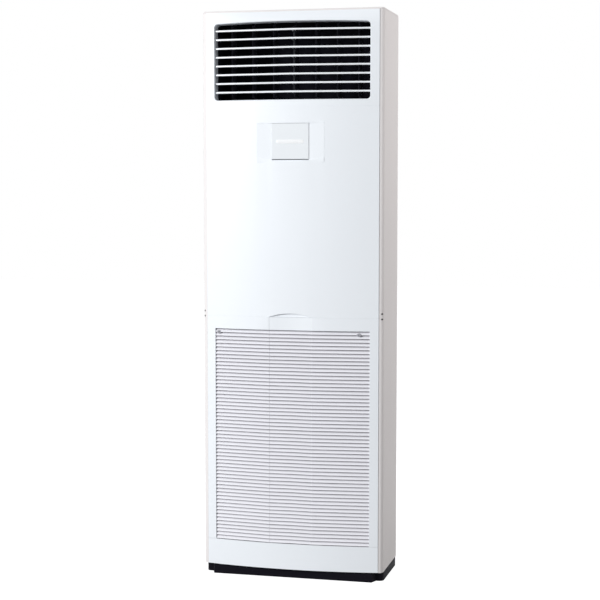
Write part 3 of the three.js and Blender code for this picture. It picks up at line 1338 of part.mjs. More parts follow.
// Terminals between upright barriers, on the box's rear wall.
function terminalBlock() {
  const rear = BOX_BACK - BOX_SHEET - SEAT;
  const x0 = BOX_RIGHT - TERMINAL_HEIGHT - 5 * TERMINAL_PITCH - BOX_SHEET;
  const z0 = BOX_BOTTOM + 1.5 * TERMINAL_PITCH;
  const stations = Array.from({ length: 6 }, (_, i) => x0 + i * TERMINAL_PITCH);
  const x1 = stations.at(-1) + BOX_SHEET;
  const base = box(x0, x1, rear - TERMINAL_DEPTH / 2, rear, z0, z0 + TERMINAL_HEIGHT);
  const barriers = stations.map((x) =>
    box(x, x + BOX_SHEET, rear - TERMINAL_DEPTH, rear - TERMINAL_DEPTH / 2 + 1, z0, z0 + TERMINAL_HEIGHT),
  );
  return join(base, ...barriers);
}

// The circuit board on four standoffs, with its relays and capacitor.
function controlBoard() {
  const rear = BOX_BACK - BOX_SHEET - SEAT;
  const x0 = -INSIDE + BOARD_INSET;
  const z0 = BOX_BOTTOM + BOARD_RISE;
  const back = rear - BOARD_STANDOFF;
  const face = back - BOX_SHEET;
  const board = box(x0, x0 + BOARD_WIDTH, face, back, z0, z0 + BOARD_HEIGHT);
  const inset = 8;
  const standoffs = [inset, BOARD_WIDTH - inset].flatMap((x) =>
    [inset, BOARD_HEIGHT - inset].map((z) => rod("y", 3, back - 1, rear, [x0 + x, z0 + z], 6)),
  );
  const [wide, deep, tall] = RELAY_SIZE;
  const relayFoot = z0 + BOARD_HEIGHT - 12 - tall;
  const relays = [1, 2, 3].map((i) => {
    const x = x0 + i * RELAY_PITCH;
    return box(x, x + wide, face + 1 - deep, face + 1, relayFoot, relayFoot + tall);
  });
  const canX = x0 + BOARD_WIDTH - RELAY_PITCH;
  const canZ = z0 + BOARD_HEIGHT * 0.4;
  const capacitor = rod("y", CAPACITOR_RADIUS, face - CAPACITOR_LENGTH, face + 1, [canX, canZ], 12);
  return join(board, ...standoffs, ...relays, capacitor);
}

// ---------------------------------------------------------------- the assembly

const unit = new THREE.Group();
const place = (group, mesh, x = 0, y = 0, z = 0) => {
  mesh.position.set(x, y, z);
  group.add(mesh);
};

const casing = new THREE.Group();
casing.add(node("base_frame", baseFrame(), FINISH.blackSteel));
casing.add(node("kick_strip", kickStrip(), FINISH.blackPlastic));
casing.add(node("side_panel_left", sidePanel(-1), FINISH.whiteSteel));
casing.add(node("side_panel_right", sidePanel(1), FINISH.whiteSteel));
casing.add(node("back_panel", backPanel(), FINISH.whiteSteel));
casing.add(node("pipe_plate", pipePlate(), FINISH.whiteSteel));
casing.add(node("top_panel", topPanel(), FINISH.whiteSteel));
casing.add(node("upper_front_panel", upperPanel(), FINISH.whitePlastic));
unit.add(casing);

const outlet = new THREE.Group();
outlet.add(node("outlet_frame", outletFrame(), FINISH.whitePlastic));
bladeHeights().forEach((z, i) => {
  place(outlet, node(`louvre_blade_${i + 1}`, blade(), FINISH.whitePlastic), 0, BLADE_AXIS_Y, z);
});
outlet.add(node("louvre_link", bladeLink(), FINISH.greyPlastic));
outlet.add(node("outlet_duct", outletDuct(), FINISH.foam));
vaneStations().forEach((x, i) => {
  const driven = i === VANE_COUNT - 1;
  place(outlet, node(`air_vane_${i + 1}`, vane(driven), FINISH.blackPlastic), x, VANE_AXIS_Y);
});
outlet.add(node("vane_link", vaneLink(), FINISH.greyPlastic));
outlet.add(node("swing_motor", swingMotor(), FINISH.zincSteel));
unit.add(outlet);

const controls = new THREE.Group();
controls.add(node("controller_body", controllerBody(), FINISH.whitePlastic));
controls.add(node("display_window", displayWindow(), FINISH.display));
for (const [name, x, share, radius] of BUTTONS)
  controls.add(node(name, button(x, share, radius), FINISH.greyPlastic));
place(controls, node("control_cover", controlCover(), FINISH.whitePlastic), 0, COVER_AXIS_Y, COVER_AXIS_Z);
unit.add(controls);

const intake = new THREE.Group();
intake.add(node("intake_grille", intakeGrille(), FINISH.whitePlastic));
intake.add(node("hinge_bracket_left", hingeBracket(-1), FINISH.zincSteel));
intake.add(node("hinge_bracket_right", hingeBracket(1), FINISH.zincSteel));
intake.add(node("air_filter", airFilter(), FINISH.greyPlastic));
intake.add(node("filter_rail_left", filterRail(-1), FINISH.greyPlastic));
intake.add(node("filter_rail_right", filterRail(1), FINISH.greyPlastic));
unit.add(intake);

const blower = new THREE.Group();
blower.add(node("deck", deck(), FINISH.zincSteel));
blower.add(node("fan_scroll", fanScroll(), FINISH.zincSteel));
place(blower, node("inlet_ring", inletRing(), FINISH.blackPlastic), FAN_X, 0, FAN_Z);
place(blower, node("fan_wheel", fanWheel(), FINISH.blackPlastic), FAN_X, 0, FAN_Z);
place(blower, node("motor_shaft", motorShaft(), FINISH.zincSteel), FAN_X, 0, FAN_Z);
place(blower, node("fan_motor", fanMotor(), FINISH.zincSteel), FAN_X, 0, FAN_Z);
blower.add(node("motor_bracket", motorBracket(), FINISH.zincSteel));
unit.add(blower);

const evaporator = new THREE.Group();
evaporator.position.set(0, COIL_FOOT_Y, COIL_FOOT_Z);
evaporator.rotation.x = -COIL_LEAN;
evaporator.add(node("evaporator_coil", coil(), FINISH.aluminium));
evaporator.add(node("coil_bracket_left", coilBracket(-1), FINISH.zincSteel));
evaporator.add(node("coil_bracket_right", coilBracket(1), FINISH.zincSteel));
unit.add(evaporator);

const plumbing = new THREE.Group();
plumbing.add(node("drain_pan", drainPan(), FINISH.blackPlastic));
plumbing.add(node("drain_socket", drainSocket(), FINISH.blackPlastic));
plumbing.add(node("gas_pipe", gasPipe(), FINISH.copper));
plumbing.add(node("liquid_pipe", liquidPipe(), FINISH.copper));
unit.add(plumbing);

const electrics = new THREE.Group();
electrics.add(node("electrical_box", electricalBox(), FINISH.zincSteel));
electrics.add(node("electrical_cover", electricalCover(), FINISH.zincSteel));
electrics.add(node("terminal_block", terminalBlock(), FINISH.blackPlastic));
electrics.add(node("control_board", controlBoard(), FINISH.greyPlastic));
unit.add(electrics);

export default unit;
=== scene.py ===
"""Looks of a floor standing air conditioner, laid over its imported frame.

The frame's own solids keep their shape and place. They get softened edges and
procedural finishes. The small things that dress them (screws, the cover's strip
and lip, the seams' lips, the grip's pocket, the corners' plugs) are surfaces
worked out here as whole arrays.
All lengths are in metres, in the frame's axes: +Z up, the front faces -Y.
"""

from __future__ import annotations

import enum
import json
import logging
import math
from dataclasses import dataclass, field
from typing import Iterable, Mapping, Sequence, Union

import bpy
import numpy as np
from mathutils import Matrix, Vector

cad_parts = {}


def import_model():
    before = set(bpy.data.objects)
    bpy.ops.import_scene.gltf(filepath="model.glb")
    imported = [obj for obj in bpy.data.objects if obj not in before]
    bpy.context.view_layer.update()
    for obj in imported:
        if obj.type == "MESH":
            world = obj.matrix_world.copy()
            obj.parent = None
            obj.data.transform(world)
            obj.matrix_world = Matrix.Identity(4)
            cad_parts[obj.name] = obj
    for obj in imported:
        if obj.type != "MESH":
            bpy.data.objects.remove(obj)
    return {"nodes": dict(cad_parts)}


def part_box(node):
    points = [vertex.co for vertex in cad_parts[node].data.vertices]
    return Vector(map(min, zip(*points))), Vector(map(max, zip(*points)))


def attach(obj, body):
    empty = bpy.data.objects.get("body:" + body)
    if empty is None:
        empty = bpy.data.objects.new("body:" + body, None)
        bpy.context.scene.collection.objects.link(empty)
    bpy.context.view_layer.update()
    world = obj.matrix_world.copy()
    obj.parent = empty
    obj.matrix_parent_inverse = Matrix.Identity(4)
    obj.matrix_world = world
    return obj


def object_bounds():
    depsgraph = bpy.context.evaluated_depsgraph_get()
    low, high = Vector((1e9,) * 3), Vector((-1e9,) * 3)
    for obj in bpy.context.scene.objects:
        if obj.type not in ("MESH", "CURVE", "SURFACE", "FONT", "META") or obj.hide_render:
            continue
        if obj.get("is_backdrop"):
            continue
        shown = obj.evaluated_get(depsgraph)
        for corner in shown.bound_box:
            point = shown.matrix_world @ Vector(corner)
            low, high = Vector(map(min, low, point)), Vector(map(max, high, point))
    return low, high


LOG = logging.getLogger("air_conditioner")
MM = 0.001
WELD_REACH = 2e-6

Number = Union[float, int]
Colour = tuple[float, float, float]
Point = tuple[float, float, float]


class Body(enum.Enum):
    """The frame's bodies that new pieces ride on."""

    CABINET = "cabinet"
    GRILLE = "grille"
    COVER = "cover"


class Slot(enum.Enum):
    """The record's material slots, passed along with new pieces but not assigned to them."""

    WHITE_PLASTIC = "white_plastic"
    BLACK_PLASTIC = "black_plastic"
    ZINC_STEEL = "zinc_steel"


def srgb(red: Number, green: Number, blue: Number) -> Colour:
    """A screen colour as the linear colour that a shader takes.

    Args:
        red: from 0 to 255.
        green: the same.
        blue: the same.

    Returns:
        The three linear numbers, from 0 to 1.
    """
    raw = np.array([red, green, blue], float) / 255.0
    low, high = raw / 12.92, ((raw + 0.055) / 1.055) ** 2.4
    return tuple(float(v) for v in np.where(raw <= 0.04045, low, high))


# ---------------------------------------------------------------- shader maths


class Term:
    """A socket in a node tree. Sums, products and powers of it add Math nodes."""

    def __init__(self, net: "Net", socket: bpy.types.NodeSocket) -> None:
        """Wraps one output socket of a net."""
        self.net = net
        self.socket = socket

    def maths(self, kind: str, *values: "Term | Number") -> "Term":
        """One Math node.

        Args:
            kind: the node's operation, such as ADD.
            values: a term or a number for each of its inputs.

        Returns:
            The node's output.
        """
        return self.net.add("ShaderNodeMath", {"operation": kind}, dict(enumerate(values)))

    def __add__(self, other: "Term | Number") -> "Term":
        """self + other."""
        return self.maths("ADD", self, other)

    def __radd__(self, other: Number) -> "Term":
        """other + self."""
        return self.maths("ADD", other, self)

    def __sub__(self, other: "Term | Number") -> "Term":
        """self - other."""
        return self.maths("SUBTRACT", self, other)

    def __rsub__(self, other: Number) -> "Term":
        """other - self."""
        return self.maths("SUBTRACT", other, self)

    def __mul__(self, other: "Term | Number") -> "Term":
        """self * other."""
        return self.maths("MULTIPLY", self, other)

    def __truediv__(self, other: "Term | Number") -> "Term":
        """self / other."""
        return self.maths("DIVIDE", self, other)

    def __pow__(self, other: Number) -> "Term":
        """self to the power other."""
        return self.maths("POWER", self, other)

    def __abs__(self) -> "Term":
        """The size of self, without its sign."""
        return self.maths("ABSOLUTE", self)

    def sine(self) -> "Term":
        """The sine of self, in radians."""
        return self.maths("SINE", self)

    def fraction(self) -> "Term":
        """What self holds past its whole number."""
        return self.maths("FRACT", self)

    def folded(self, span: Number) -> "Term":
        """Self run to and fro between 0 and a span."""
        return self.maths("PINGPONG", self, span)

    def most(self, other: "Term") -> "Term":
        """The larger of self and other."""
        return self.maths("MAXIMUM", self, other)

    def within(self, low: Number, high: Number, soft: Number) -> "Term":
        """1 between low and high, 0 outside, with a slope of width soft at each end."""
        rise = self.step(low, soft)
        return rise * (1 - self.step(high, soft))

    def step(self, at: Number, soft: Number) -> "Term":
        """A smooth rise from 0 to 1.

        Args:
            at: the value at its middle.
            soft: its width.

        Returns:
            The share risen.
        """
        ramp = {"interpolation_type": "SMOOTHSTEP"}
        ends = {"Value": self, "From Min": at - soft / 2, "From Max": at + soft / 2}
        return self.net.add("ShaderNodeMapRange", ramp, ends, "Result")


class Net:
    """A material's or world's node tree, with one method that adds any node."""

    def __init__(self, owner: "bpy.types.Material | bpy.types.World") -> None:
        """Clears the owner's tree and starts a new one.

        Args:
            owner: the material or world.
        """
        owner.use_nodes = True
        self.tree = owner.node_tree
        self.tree.nodes.clear()

    def add(
        self,
        kind: str,
        settings: Mapping[str, object] | None = None,
        inputs: Mapping[int | str, object] | None = None,
        out: int | str = 0,
    ) -> Term:
        """Adds one node.

        Args:
            kind: the node's type, such as ShaderNodeTexNoise.
            settings: its own properties, set before its sockets.
            inputs: a value, a term or a colour for each named socket.
            out: the output that the returned term wraps.

        Returns:
            The wrapped output, or the node's first input where it has no output.
        """
        node = self.tree.nodes.new(kind)
        for key, value in (settings or {}).items():
            setattr(node, key, value)
        for key, value in (inputs or {}).items():
            socket = node.inputs[key]
            if isinstance(value, Term):
                self.tree.links.new(value.socket, socket)
            elif socket.type == "RGBA" and len(value) == 3:
                socket.default_value = (*value, 1.0)
            else:
                socket.default_value = value
        return Term(self, node.outputs[out] if len(node.outputs) else node.inputs[0])

    def place(self, scale: Sequence[float] = (1, 1, 1)) -> Term:
        """Object coordinates, stretched.

        Args:
            scale: how many pattern units a metre holds, along each axis.

        Returns:
            The mapped vector.
        """
        here = self.add("ShaderNodeTexCoord", out="Object")
        return self.add("ShaderNodeMapping", {}, {"Vector": here, "Scale": tuple(scale)})

    def axes(self, vector: Term) -> tuple[Term, Term, Term]:
        """Splits a vector.

        Args:
            vector: the vector.

        Returns:
            Its three numbers.
        """
        split = self.add("ShaderNodeSeparateXYZ", {}, {0: vector})
        outs = split.socket.node.outputs
        return tuple(Term(self, socket) for socket in outs)

    def noise(self, vector: Term, scale: float, detail: float = 2.0, rough: float = 0.5) -> Term:
        """Cloudy noise from 0 to 1.

        Args:
            vector: where it's read.
            scale: its cells per unit.
            detail: how many finer layers it has.
            rough: how strong those layers are.

        Returns:
            The noise value.
        """
        inputs = {"Vector": vector, "Scale": scale, "Detail": detail, "Roughness": rough}
        return self.add("ShaderNodeTexNoise", {}, inputs, "Fac")

    def blend(self, share: "Term | Number", low: "Term | Colour", high: "Term | Colour") -> Term:
        """A colour between two.

        Args:
            share: 0 gives low and 1 gives high.
            low: the first colour.
            high: the second colour.

        Returns:
            The mixed colour.
        """
        return self.add("ShaderNodeMix", {"data_type": "RGBA"}, {0: share, 6: low, 7: high}, 2)

    def bump(self, height: Term, depth: float, below: Term | None = None) -> Term:
        """A bumped normal.

        Args:
            height: the height map, from 0 to 1.
            depth: what a height of 1 stands for, in metres.
            below: a coarser bump that this one lies on.

        Returns:
            The normal.
        """
        inputs: dict[int | str, object] = {"Height": height, "Distance": depth, "Strength": 1.0}
        if below is not None:
            inputs["Normal"] = below
        return self.add("ShaderNodeBump", {}, inputs)


# ---------------------------------------------------------------- finishes


@dataclass(frozen=True)
class Finish:
    """A surface finish: an even base that subclasses give their grain."""

    name: str
    colour: Colour
    roughness: float = 0.4
    metallic: float = 0.0
    coat: float = 0.0
    coat_roughness: float = 0.1
    specular: float = 0.5

    def material(self) -> bpy.types.Material:
        """The finish's material, made once and shared by all that wear it.

        Returns:
            The material.
        """
        made = bpy.data.materials.get(self.name)
        if made is None:
            made = bpy.data.materials.new(self.name)
            made.diffuse_color = (*self.colour, 1.0)
            net = Net(made)
            constants = {
                "Base Color": self.colour,
                "Roughness": self.roughness,
                "Metallic": self.metallic,
                "Coat Weight": self.coat,
                "Coat Roughness": self.coat_roughness,
                "Specular IOR Level": self.specular,
            }
            varied = self.grain(net)
            shader = net.add("ShaderNodeBsdfPrincipled", {}, {**constants, **varied})
            net.add("ShaderNodeOutputMaterial", {}, {"Surface": shader})
        return made

    def grain(self, net: Net) -> dict[str, Term]:
        """What varies over the surface.

        Args:
            net: the material's net.

        Returns:
            A term for each socket of the shader that varies.
        """
        raise NotImplementedError


@dataclass(frozen=True)
class MouldedPlastic(Finish):
    """Injection-moulded plastic: faint clouding, and a fine satin skin."""

    texture: float = 900.0
    relief: float = 0.00003
    clouding: float = 0.03
    cloud_scale: float = 3.0

    def grain(self, net: Net) -> dict[str, Term]:
        """Large soft clouds in colour and gloss, over a fine pebbled skin.

        Args:
            net: the material's net.

        Returns:
            Terms for the shader's sockets.
        """
        here = net.place()
        clouds = net.noise(here, self.cloud_scale, 3.0)
        skin = net.noise(here, self.texture, 2.0)
        deeper = tuple(c * (1 - self.clouding) for c in self.colour)
        return {
            "Base Color": net.blend(clouds, deeper, self.colour),
            "Roughness": self.roughness * 0.85 + clouds * (self.roughness * 0.3),
            "Normal": net.bump(skin, self.relief),
        }


@dataclass(frozen=True)
class SlottedPlastic(MouldedPlastic):
    """The grille's plastic: painted shade lies deep between its slats, and its channel has a crisp
    edge.
    """

    pitch: float = 12 * MM
    foot: float = 802.8 * MM
    slats_below: int = 64
    top: float = 814.8 * MM
    bottom: float = 116.8 * MM
    half: float = 257 * MM
    channel: float = 70 * MM
    crisp: float = 0.2 * MM
    scoop_edge: float = 1.6 * MM
    scoop_step: float = 0.9 * MM
    # the colour of the painted shade between the slats
    dust_and_painted_shade: Colour = srgb(160, 156, 163)
    slat: Colour = srgb(244, 242, 247)
    slat_share: float = 0.85

    def grain(self, net: Net) -> dict[str, Term]:
        """The skin, greyed by painted shade towards the hidden upper edge of each slat.

        A slat's share is the fraction of (z - foot) / pitch: 0 at its lower
        edge, which lies foremost, and near 1 where it passes behind the next.

        Args:
            net: the material's net.

        Returns:
            Terms for the shader's sockets.
        """
        varied = super().grain(net)
        x, _, z = net.axes(net.place())
        away = abs(x)
        share = ((z - self.foot + self.pitch * self.slats_below) / self.pitch).fraction()
        window = z.within(self.bottom, self.top, self.crisp)
        slotted = window * (1 - away.step(self.half, self.crisp))
        # painted shade: each slat greys towards its upper edge, where it passes into shade behind
        # the next
        dust_and_painted_shade_film = (share.step(0.6, 0.7) ** 1.3) * slotted
        edge = away.step(self.channel, self.scoop_edge) * z.step(self.bottom, 2 * self.crisp)
        unshaded_colour = net.blend(slotted * self.slat_share, varied["Base Color"], self.slat)
        return {
            "Base Color": net.blend(dust_and_painted_shade_film, unshaded_colour, self.dust_and_painted_shade),
            "Roughness": varied["Roughness"] + dust_and_painted_shade_film * 0.2,
            "Normal": net.bump(edge, self.scoop_step, varied["Normal"]),
        }


@dataclass(frozen=True)
class PowderCoat(Finish):
    """Sheet steel under powder coat: orange peel, and dust that settles low."""

    peel: float = 380.0
    relief: float = 0.00006
    dust_and_painted_shade: Colour = srgb(150, 143, 136)
    dust_share: float = 0.12
    dust_height: float = 0.16
    dust_fade: float = 0.4
    cloud_scale: float = 2.2

    def grain(self, net: Net) -> dict[str, Term]:
        """Orange peel, faint clouds, and a film of dust near the floor.

        Args:
            net: the material's net.

        Returns:
            Terms for the shader's sockets.
        """
        here = net.place()
        clouds = net.noise(here, self.cloud_scale, 4.0)
        peel = net.noise(here, self.peel, 1.0)
        high = net.axes(here)[2]
        dust_and_painted_shade_film = (1 - high.step(self.dust_height, self.dust_fade)) * clouds * self.dust_share
        return {
            "Base Color": net.blend(dust_and_painted_shade_film, self.colour, self.dust_and_painted_shade),
            "Roughness": self.roughness * 0.85 + clouds * (self.roughness * 0.3) + dust_and_painted_shade_film * 0.5,
            "Normal": net.bump(peel, self.relief),
        }


@dataclass(frozen=True)
class ScrewedSheet(PowderCoat):
    """Powder-coated sheet that is held by countersunk screws along both sides."""

    column: float = 288 * MM
    pitch: float = 226 * MM
    first: float = 60 * MM
    head: float = 4.2 * MM
    soft: float = 0.6 * MM
    sink: float = 0.6 * MM
    shank: Colour = srgb(128, 128, 130)

    def grain(self, net: Net) -> dict[str, Term]:
        """The coat's grain, with a round head wherever both distances to a screw are small.

        The distance across is ||x| - column|, and the distance up is the height
        folded to and fro over half a pitch, so that it falls to 0 at each screw.

        Args:
            net: the material's net.

        Returns:
            Terms for the shader's sockets.
        """
        varied = super().grain(net)
        x, _, z = net.axes(net.place())
        across = abs(x) - self.column
        up = (z - self.first).folded(self.pitch / 2)
        away = (across * across + up * up) ** 0.5
        inside = 1 - away.step(self.head, self.soft)
        rim = away.within(self.head * 0.9, self.head * 1.15, self.soft)
        return {
            "Base Color": net.blend(inside * 0.8, varied["Base Color"], self.shank),
            "Roughness": varied["Roughness"],
            "Metallic": inside * 0.7,
            "Normal": net.bump(rim, -self.sink, varied["Normal"]),
        }


@dataclass(frozen=True)
class ZincSheet(Finish):
    """Zinc coated sheet: grey spangles, each with its own shade and gloss."""

    spangle: float = 90.0
    stretch: float = 60.0

    def grain(self, net: Net) -> dict[str, Term]:
        """Spangles from the cells of a Voronoi pattern, under fine rolling lines.

        Args:
            net: the material's net.

        Returns:
            Terms for the shader's sockets.
        """
        here = net.place()
        cells = {"Vector": here, "Scale": self.spangle}
        cell = net.add("ShaderNodeTexVoronoi", {"feature": "F1"}, cells, "Color")
        shade = net.axes(cell)[0]
        lines = net.noise(net.place((1, 1, self.stretch)), 30.0, 2.0)
        dark = tuple(c * 0.72 for c in self.colour)
        return {
            "Base Color": net.blend(shade, dark, self.colour),
            "Roughness": self.roughness + shade * 0.16 + lines * 0.08,
            "Normal": net.bump(lines, 0.00003),
        }


@dataclass(frozen=True)
class FinStack(Finish):
    """A stack of thin aluminium fins, seen on their edges."""

    pitch: float = 1.8 * MM
    end: float = 235.8 * MM
    soft: float = 0.4 * MM
    tube: Colour = srgb(186, 116, 80)

    def grain(self, net: Net) -> dict[str, Term]:
        """Fine upright grooves at the fins' pitch across X, with painted shade in the gaps between
        the fins, and bare copper past their ends.

        Args:
            net: the material's net.

        Returns:
            Terms for the shader's sockets.
        """
        here = net.place()
        across = net.axes(here)[0]
        out = abs(across).step(self.end, self.soft)
        wave = ((across * (2 * math.pi / self.pitch)).sine() * 0.5 + 0.5) * (1 - out)
        patches = net.noise(here, 14.0, 3.0)
        # painted shade: the gaps between the fins are darkened to a quarter of the fins' colour
        dark = tuple(c * 0.25 for c in self.colour)
        tone = wave * (0.75 + patches * 0.25)
        return {
            "Base Color": net.blend(out, net.blend(tone, dark, self.colour), self.tube),
            "Roughness": self.roughness + patches * 0.2,
            "Normal": net.bump(wave, 0.0004),
        }


@dataclass(frozen=True)
class BareCopper(Finish):
    """Drawn copper tube, part bright and part browned."""

    tarnish: Colour = srgb(122, 74, 50)

    def grain(self, net: Net) -> dict[str, Term]:
        """Brown patches over bright copper, with drawing marks.

        Args:
            net: the material's net.

        Returns:
            Terms for the shader's sockets.
        """
        here = net.place()
        patches = net.noise(here, 22.0, 4.0, 0.6)
        marks = net.noise(here, 420.0, 1.0)
        return {
            "Base Color": net.blend(patches.step(0.55, 0.3), self.colour, self.tarnish),
            "Roughness": self.roughness + patches * 0.25,
            "Normal": net.bump(marks, 0.00004),
        }


@dataclass(frozen=True)
class LiningFoam(Finish):
    """Dark closed-cell foam glued inside a duct."""

    cells: float = 260.0

    def grain(self, net: Net) -> dict[str, Term]:
        """Small open cells, with painted shade at their hearts.

        Args:
            net: the material's net.

        Returns:
            Terms for the shader's sockets.
        """
        here = net.place()
        cells = {"Vector": here, "Scale": self.cells}
        pores = net.add("ShaderNodeTexVoronoi", {"feature": "F1"}, cells, "Distance")
        # painted shade: each cell darkens towards its heart, where its hollow lies in shade
        deep = tuple(c * 0.55 for c in self.colour)
        return {
            "Base Color": net.blend(pores, deep, self.colour),
            "Roughness": self.roughness - pores * 0.1,
            "Normal": net.bump(pores, 0.0004),
        }


@dataclass(frozen=True)
class SmokedWindow(Finish):
    """A dark gloss window over the unlit display."""

    edge: Colour = srgb(42, 50, 50)
    pitch: float = 6 * MM

    def grain(self, net: Net) -> dict[str, Term]:
        """A faint grid of unlit cells behind the gloss, and a few smears.

        Args:
            net: the material's net.

        Returns:
            Terms for the shader's sockets.
        """
        here = net.place()
        x, _, z = net.axes(here)
        turn = 2 * math.pi / self.pitch
        columns = (x * turn).sine().step(0.8, 0.3)
        rows = (z * turn).sine().step(0.8, 0.3)
        smear = net.noise(here, 60.0, 3.0)
        return {
            "Base Color": net.blend(columns * rows * 0.5, self.colour, self.edge),
            "Roughness": self.roughness + smear * 0.08,
        }


@dataclass(frozen=True)
class MeshCloth(Finish):
    """A fine woven net, held flat at the back of a moulded frame."""

    pitch: float = 2.0 * MM
    thread: Colour = srgb(96, 100, 106)
    frame: Colour = srgb(104, 108, 114)
    net_y: float = -90.4 * MM

    def grain(self, net: Net) -> dict[str, Term]:
        """Threads along X and Z behind net_y, and the frame's plain plastic before it.

        Args:
            net: the material's net.

        Returns:
            Terms for the shader's sockets.
        """
        here = net.place()
        x, y, z = net.axes(here)
        turn = 2 * math.pi / self.pitch
        warp = ((x * turn).sine() * 0.5 + 0.5) ** 3
        weft = ((z * turn).sine() * 0.5 + 0.5) ** 3
        lines = warp.most(weft)
        behind = y.step(self.net_y, 0.0003)
        woven = net.blend(lines, self.colour, self.thread)
        return {
            "Base Color": net.blend(behind, self.frame, woven),
            "Roughness": self.roughness - lines * 0.15,
            "Normal": net.bump(lines * behind, 0.0003),
        }


@dataclass(frozen=True)
class PrintedBoard(Finish):
    """A printed board: green mask over copper runs."""

    run: Colour = srgb(66, 128, 84)

    def grain(self, net: Net) -> dict[str, Term]:
        """Runs and pads from a brick pattern, a shade lighter than the mask.

        Args:
            net: the material's net.

        Returns:
            Terms for the shader's sockets.
        """
        x, _, z = net.axes(net.place())
        bricks = {"offset": 0.35, "offset_frequency": 2}
        sizes = {
            "Vector": net.add("ShaderNodeCombineXYZ", {}, {0: x, 1: z}),
            "Scale": 1.0, "Brick Width": 16 * MM, "Row Height": 4.5 * MM, "Mortar Size": 0.6 * MM,
            "Color1": (0, 0, 0), "Color2": (0, 0, 0), "Mortar": (1, 1, 1),
        }
        runs = net.axes(net.add("ShaderNodeTexBrick", bricks, sizes, "Color"))[0]
        return {
            "Base Color": net.blend(runs, self.colour, self.run),
            "Roughness": self.roughness - runs * 0.15,
            "Normal": net.bump(runs, 0.0001),
        }


SATIN = {"colour": srgb(244, 247, 251), "roughness": 0.44, "coat": 0.08, "coat_roughness": 0.3}
FRONT_WHITE = MouldedPlastic("front_white", **SATIN)
GRILLE_WHITE = SlottedPlastic("grille_white", **SATIN)
BODY_GREY = MouldedPlastic("body_grey", srgb(150, 154, 160), 0.5)
BOSS_GREY = MouldedPlastic("boss_grey", srgb(178, 177, 183), 0.5)
HOLE_BLACK = MouldedPlastic("hole_black", srgb(20, 20, 22), 0.6, specular=0.1)
BLADE_WHITE = MouldedPlastic("blade_white", srgb(246, 248, 251), 0.40, coat=0.1)
PLATE_WHITE = MouldedPlastic("plate_white", srgb(240, 243, 246), 0.30, coat=0.35)
STRIP_WHITE = MouldedPlastic("strip_white", srgb(251, 251, 252), 0.28, coat=0.3)
KEY_GREY = MouldedPlastic("key_grey", srgb(176, 182, 190), 0.5, texture=1400.0)
PANEL_COAT = PowderCoat("panel_coat", srgb(238, 233, 232), 0.5, specular=0.2)
BACK_COAT = ScrewedSheet("back_coat", srgb(232, 228, 226), 0.5, specular=0.2)
BASE_COAT = PowderCoat("base_coat", srgb(12, 10, 19), 0.6, specular=0.06, dust_and_painted_shade=srgb(34, 33, 34))
KICK_BLACK = MouldedPlastic(
    "kick_black", srgb(15, 13, 22), 0.62,
    specular=0.06, texture=600.0, relief=0.00008, clouding=0.3)
LINK_GREY = MouldedPlastic("link_grey", srgb(40, 41, 47), 0.6, specular=0.2)
VANE_BLACK = MouldedPlastic("vane_black", srgb(44, 43, 52), 0.7, specular=0.12, clouding=0.2)
WHEEL_BLACK = MouldedPlastic(
    "wheel_black", srgb(36, 38, 43), 0.6, specular=0.2, texture=500.0, relief=0.0001, clouding=0.25)
RAIL_GREY = MouldedPlastic("rail_grey", srgb(104, 108, 114), 0.55)
TRAY_BLACK = MouldedPlastic("tray_black", srgb(34, 35, 40), 0.6, specular=0.2, clouding=0.2)
BLOCK_CREAM = MouldedPlastic("block_cream", srgb(206, 198, 176), 0.5)
GALVANISED = ZincSheet("galvanised", srgb(186, 190, 194), 0.34, metallic=0.85)
MOTOR_ZINC = ZincSheet("motor_zinc", srgb(150, 154, 158), 0.42, metallic=0.8, spangle=220.0)
FINS = FinStack("fins", srgb(196, 200, 204), 0.32, metallic=0.9)
COPPER = BareCopper("copper", srgb(196, 122, 84), 0.26, metallic=0.95)
DUCT_FOAM = LiningFoam("duct_foam", srgb(38, 37, 46), 0.95, specular=0.05)
DISPLAY = SmokedWindow("display", srgb(24, 28, 30), 0.12, coat=0.5)
FILTER_NET = MeshCloth("filter_net", srgb(26, 27, 30), 0.75, specular=0.2)
BOARD_GREEN = PrintedBoard("board_green", srgb(34, 92, 56), 0.42)
SCREW_ZINC = ZincSheet("screw_zinc", srgb(118, 120, 126), 0.36, metallic=0.8, spangle=700.0)


# ---------------------------------------------------------------- softened solids


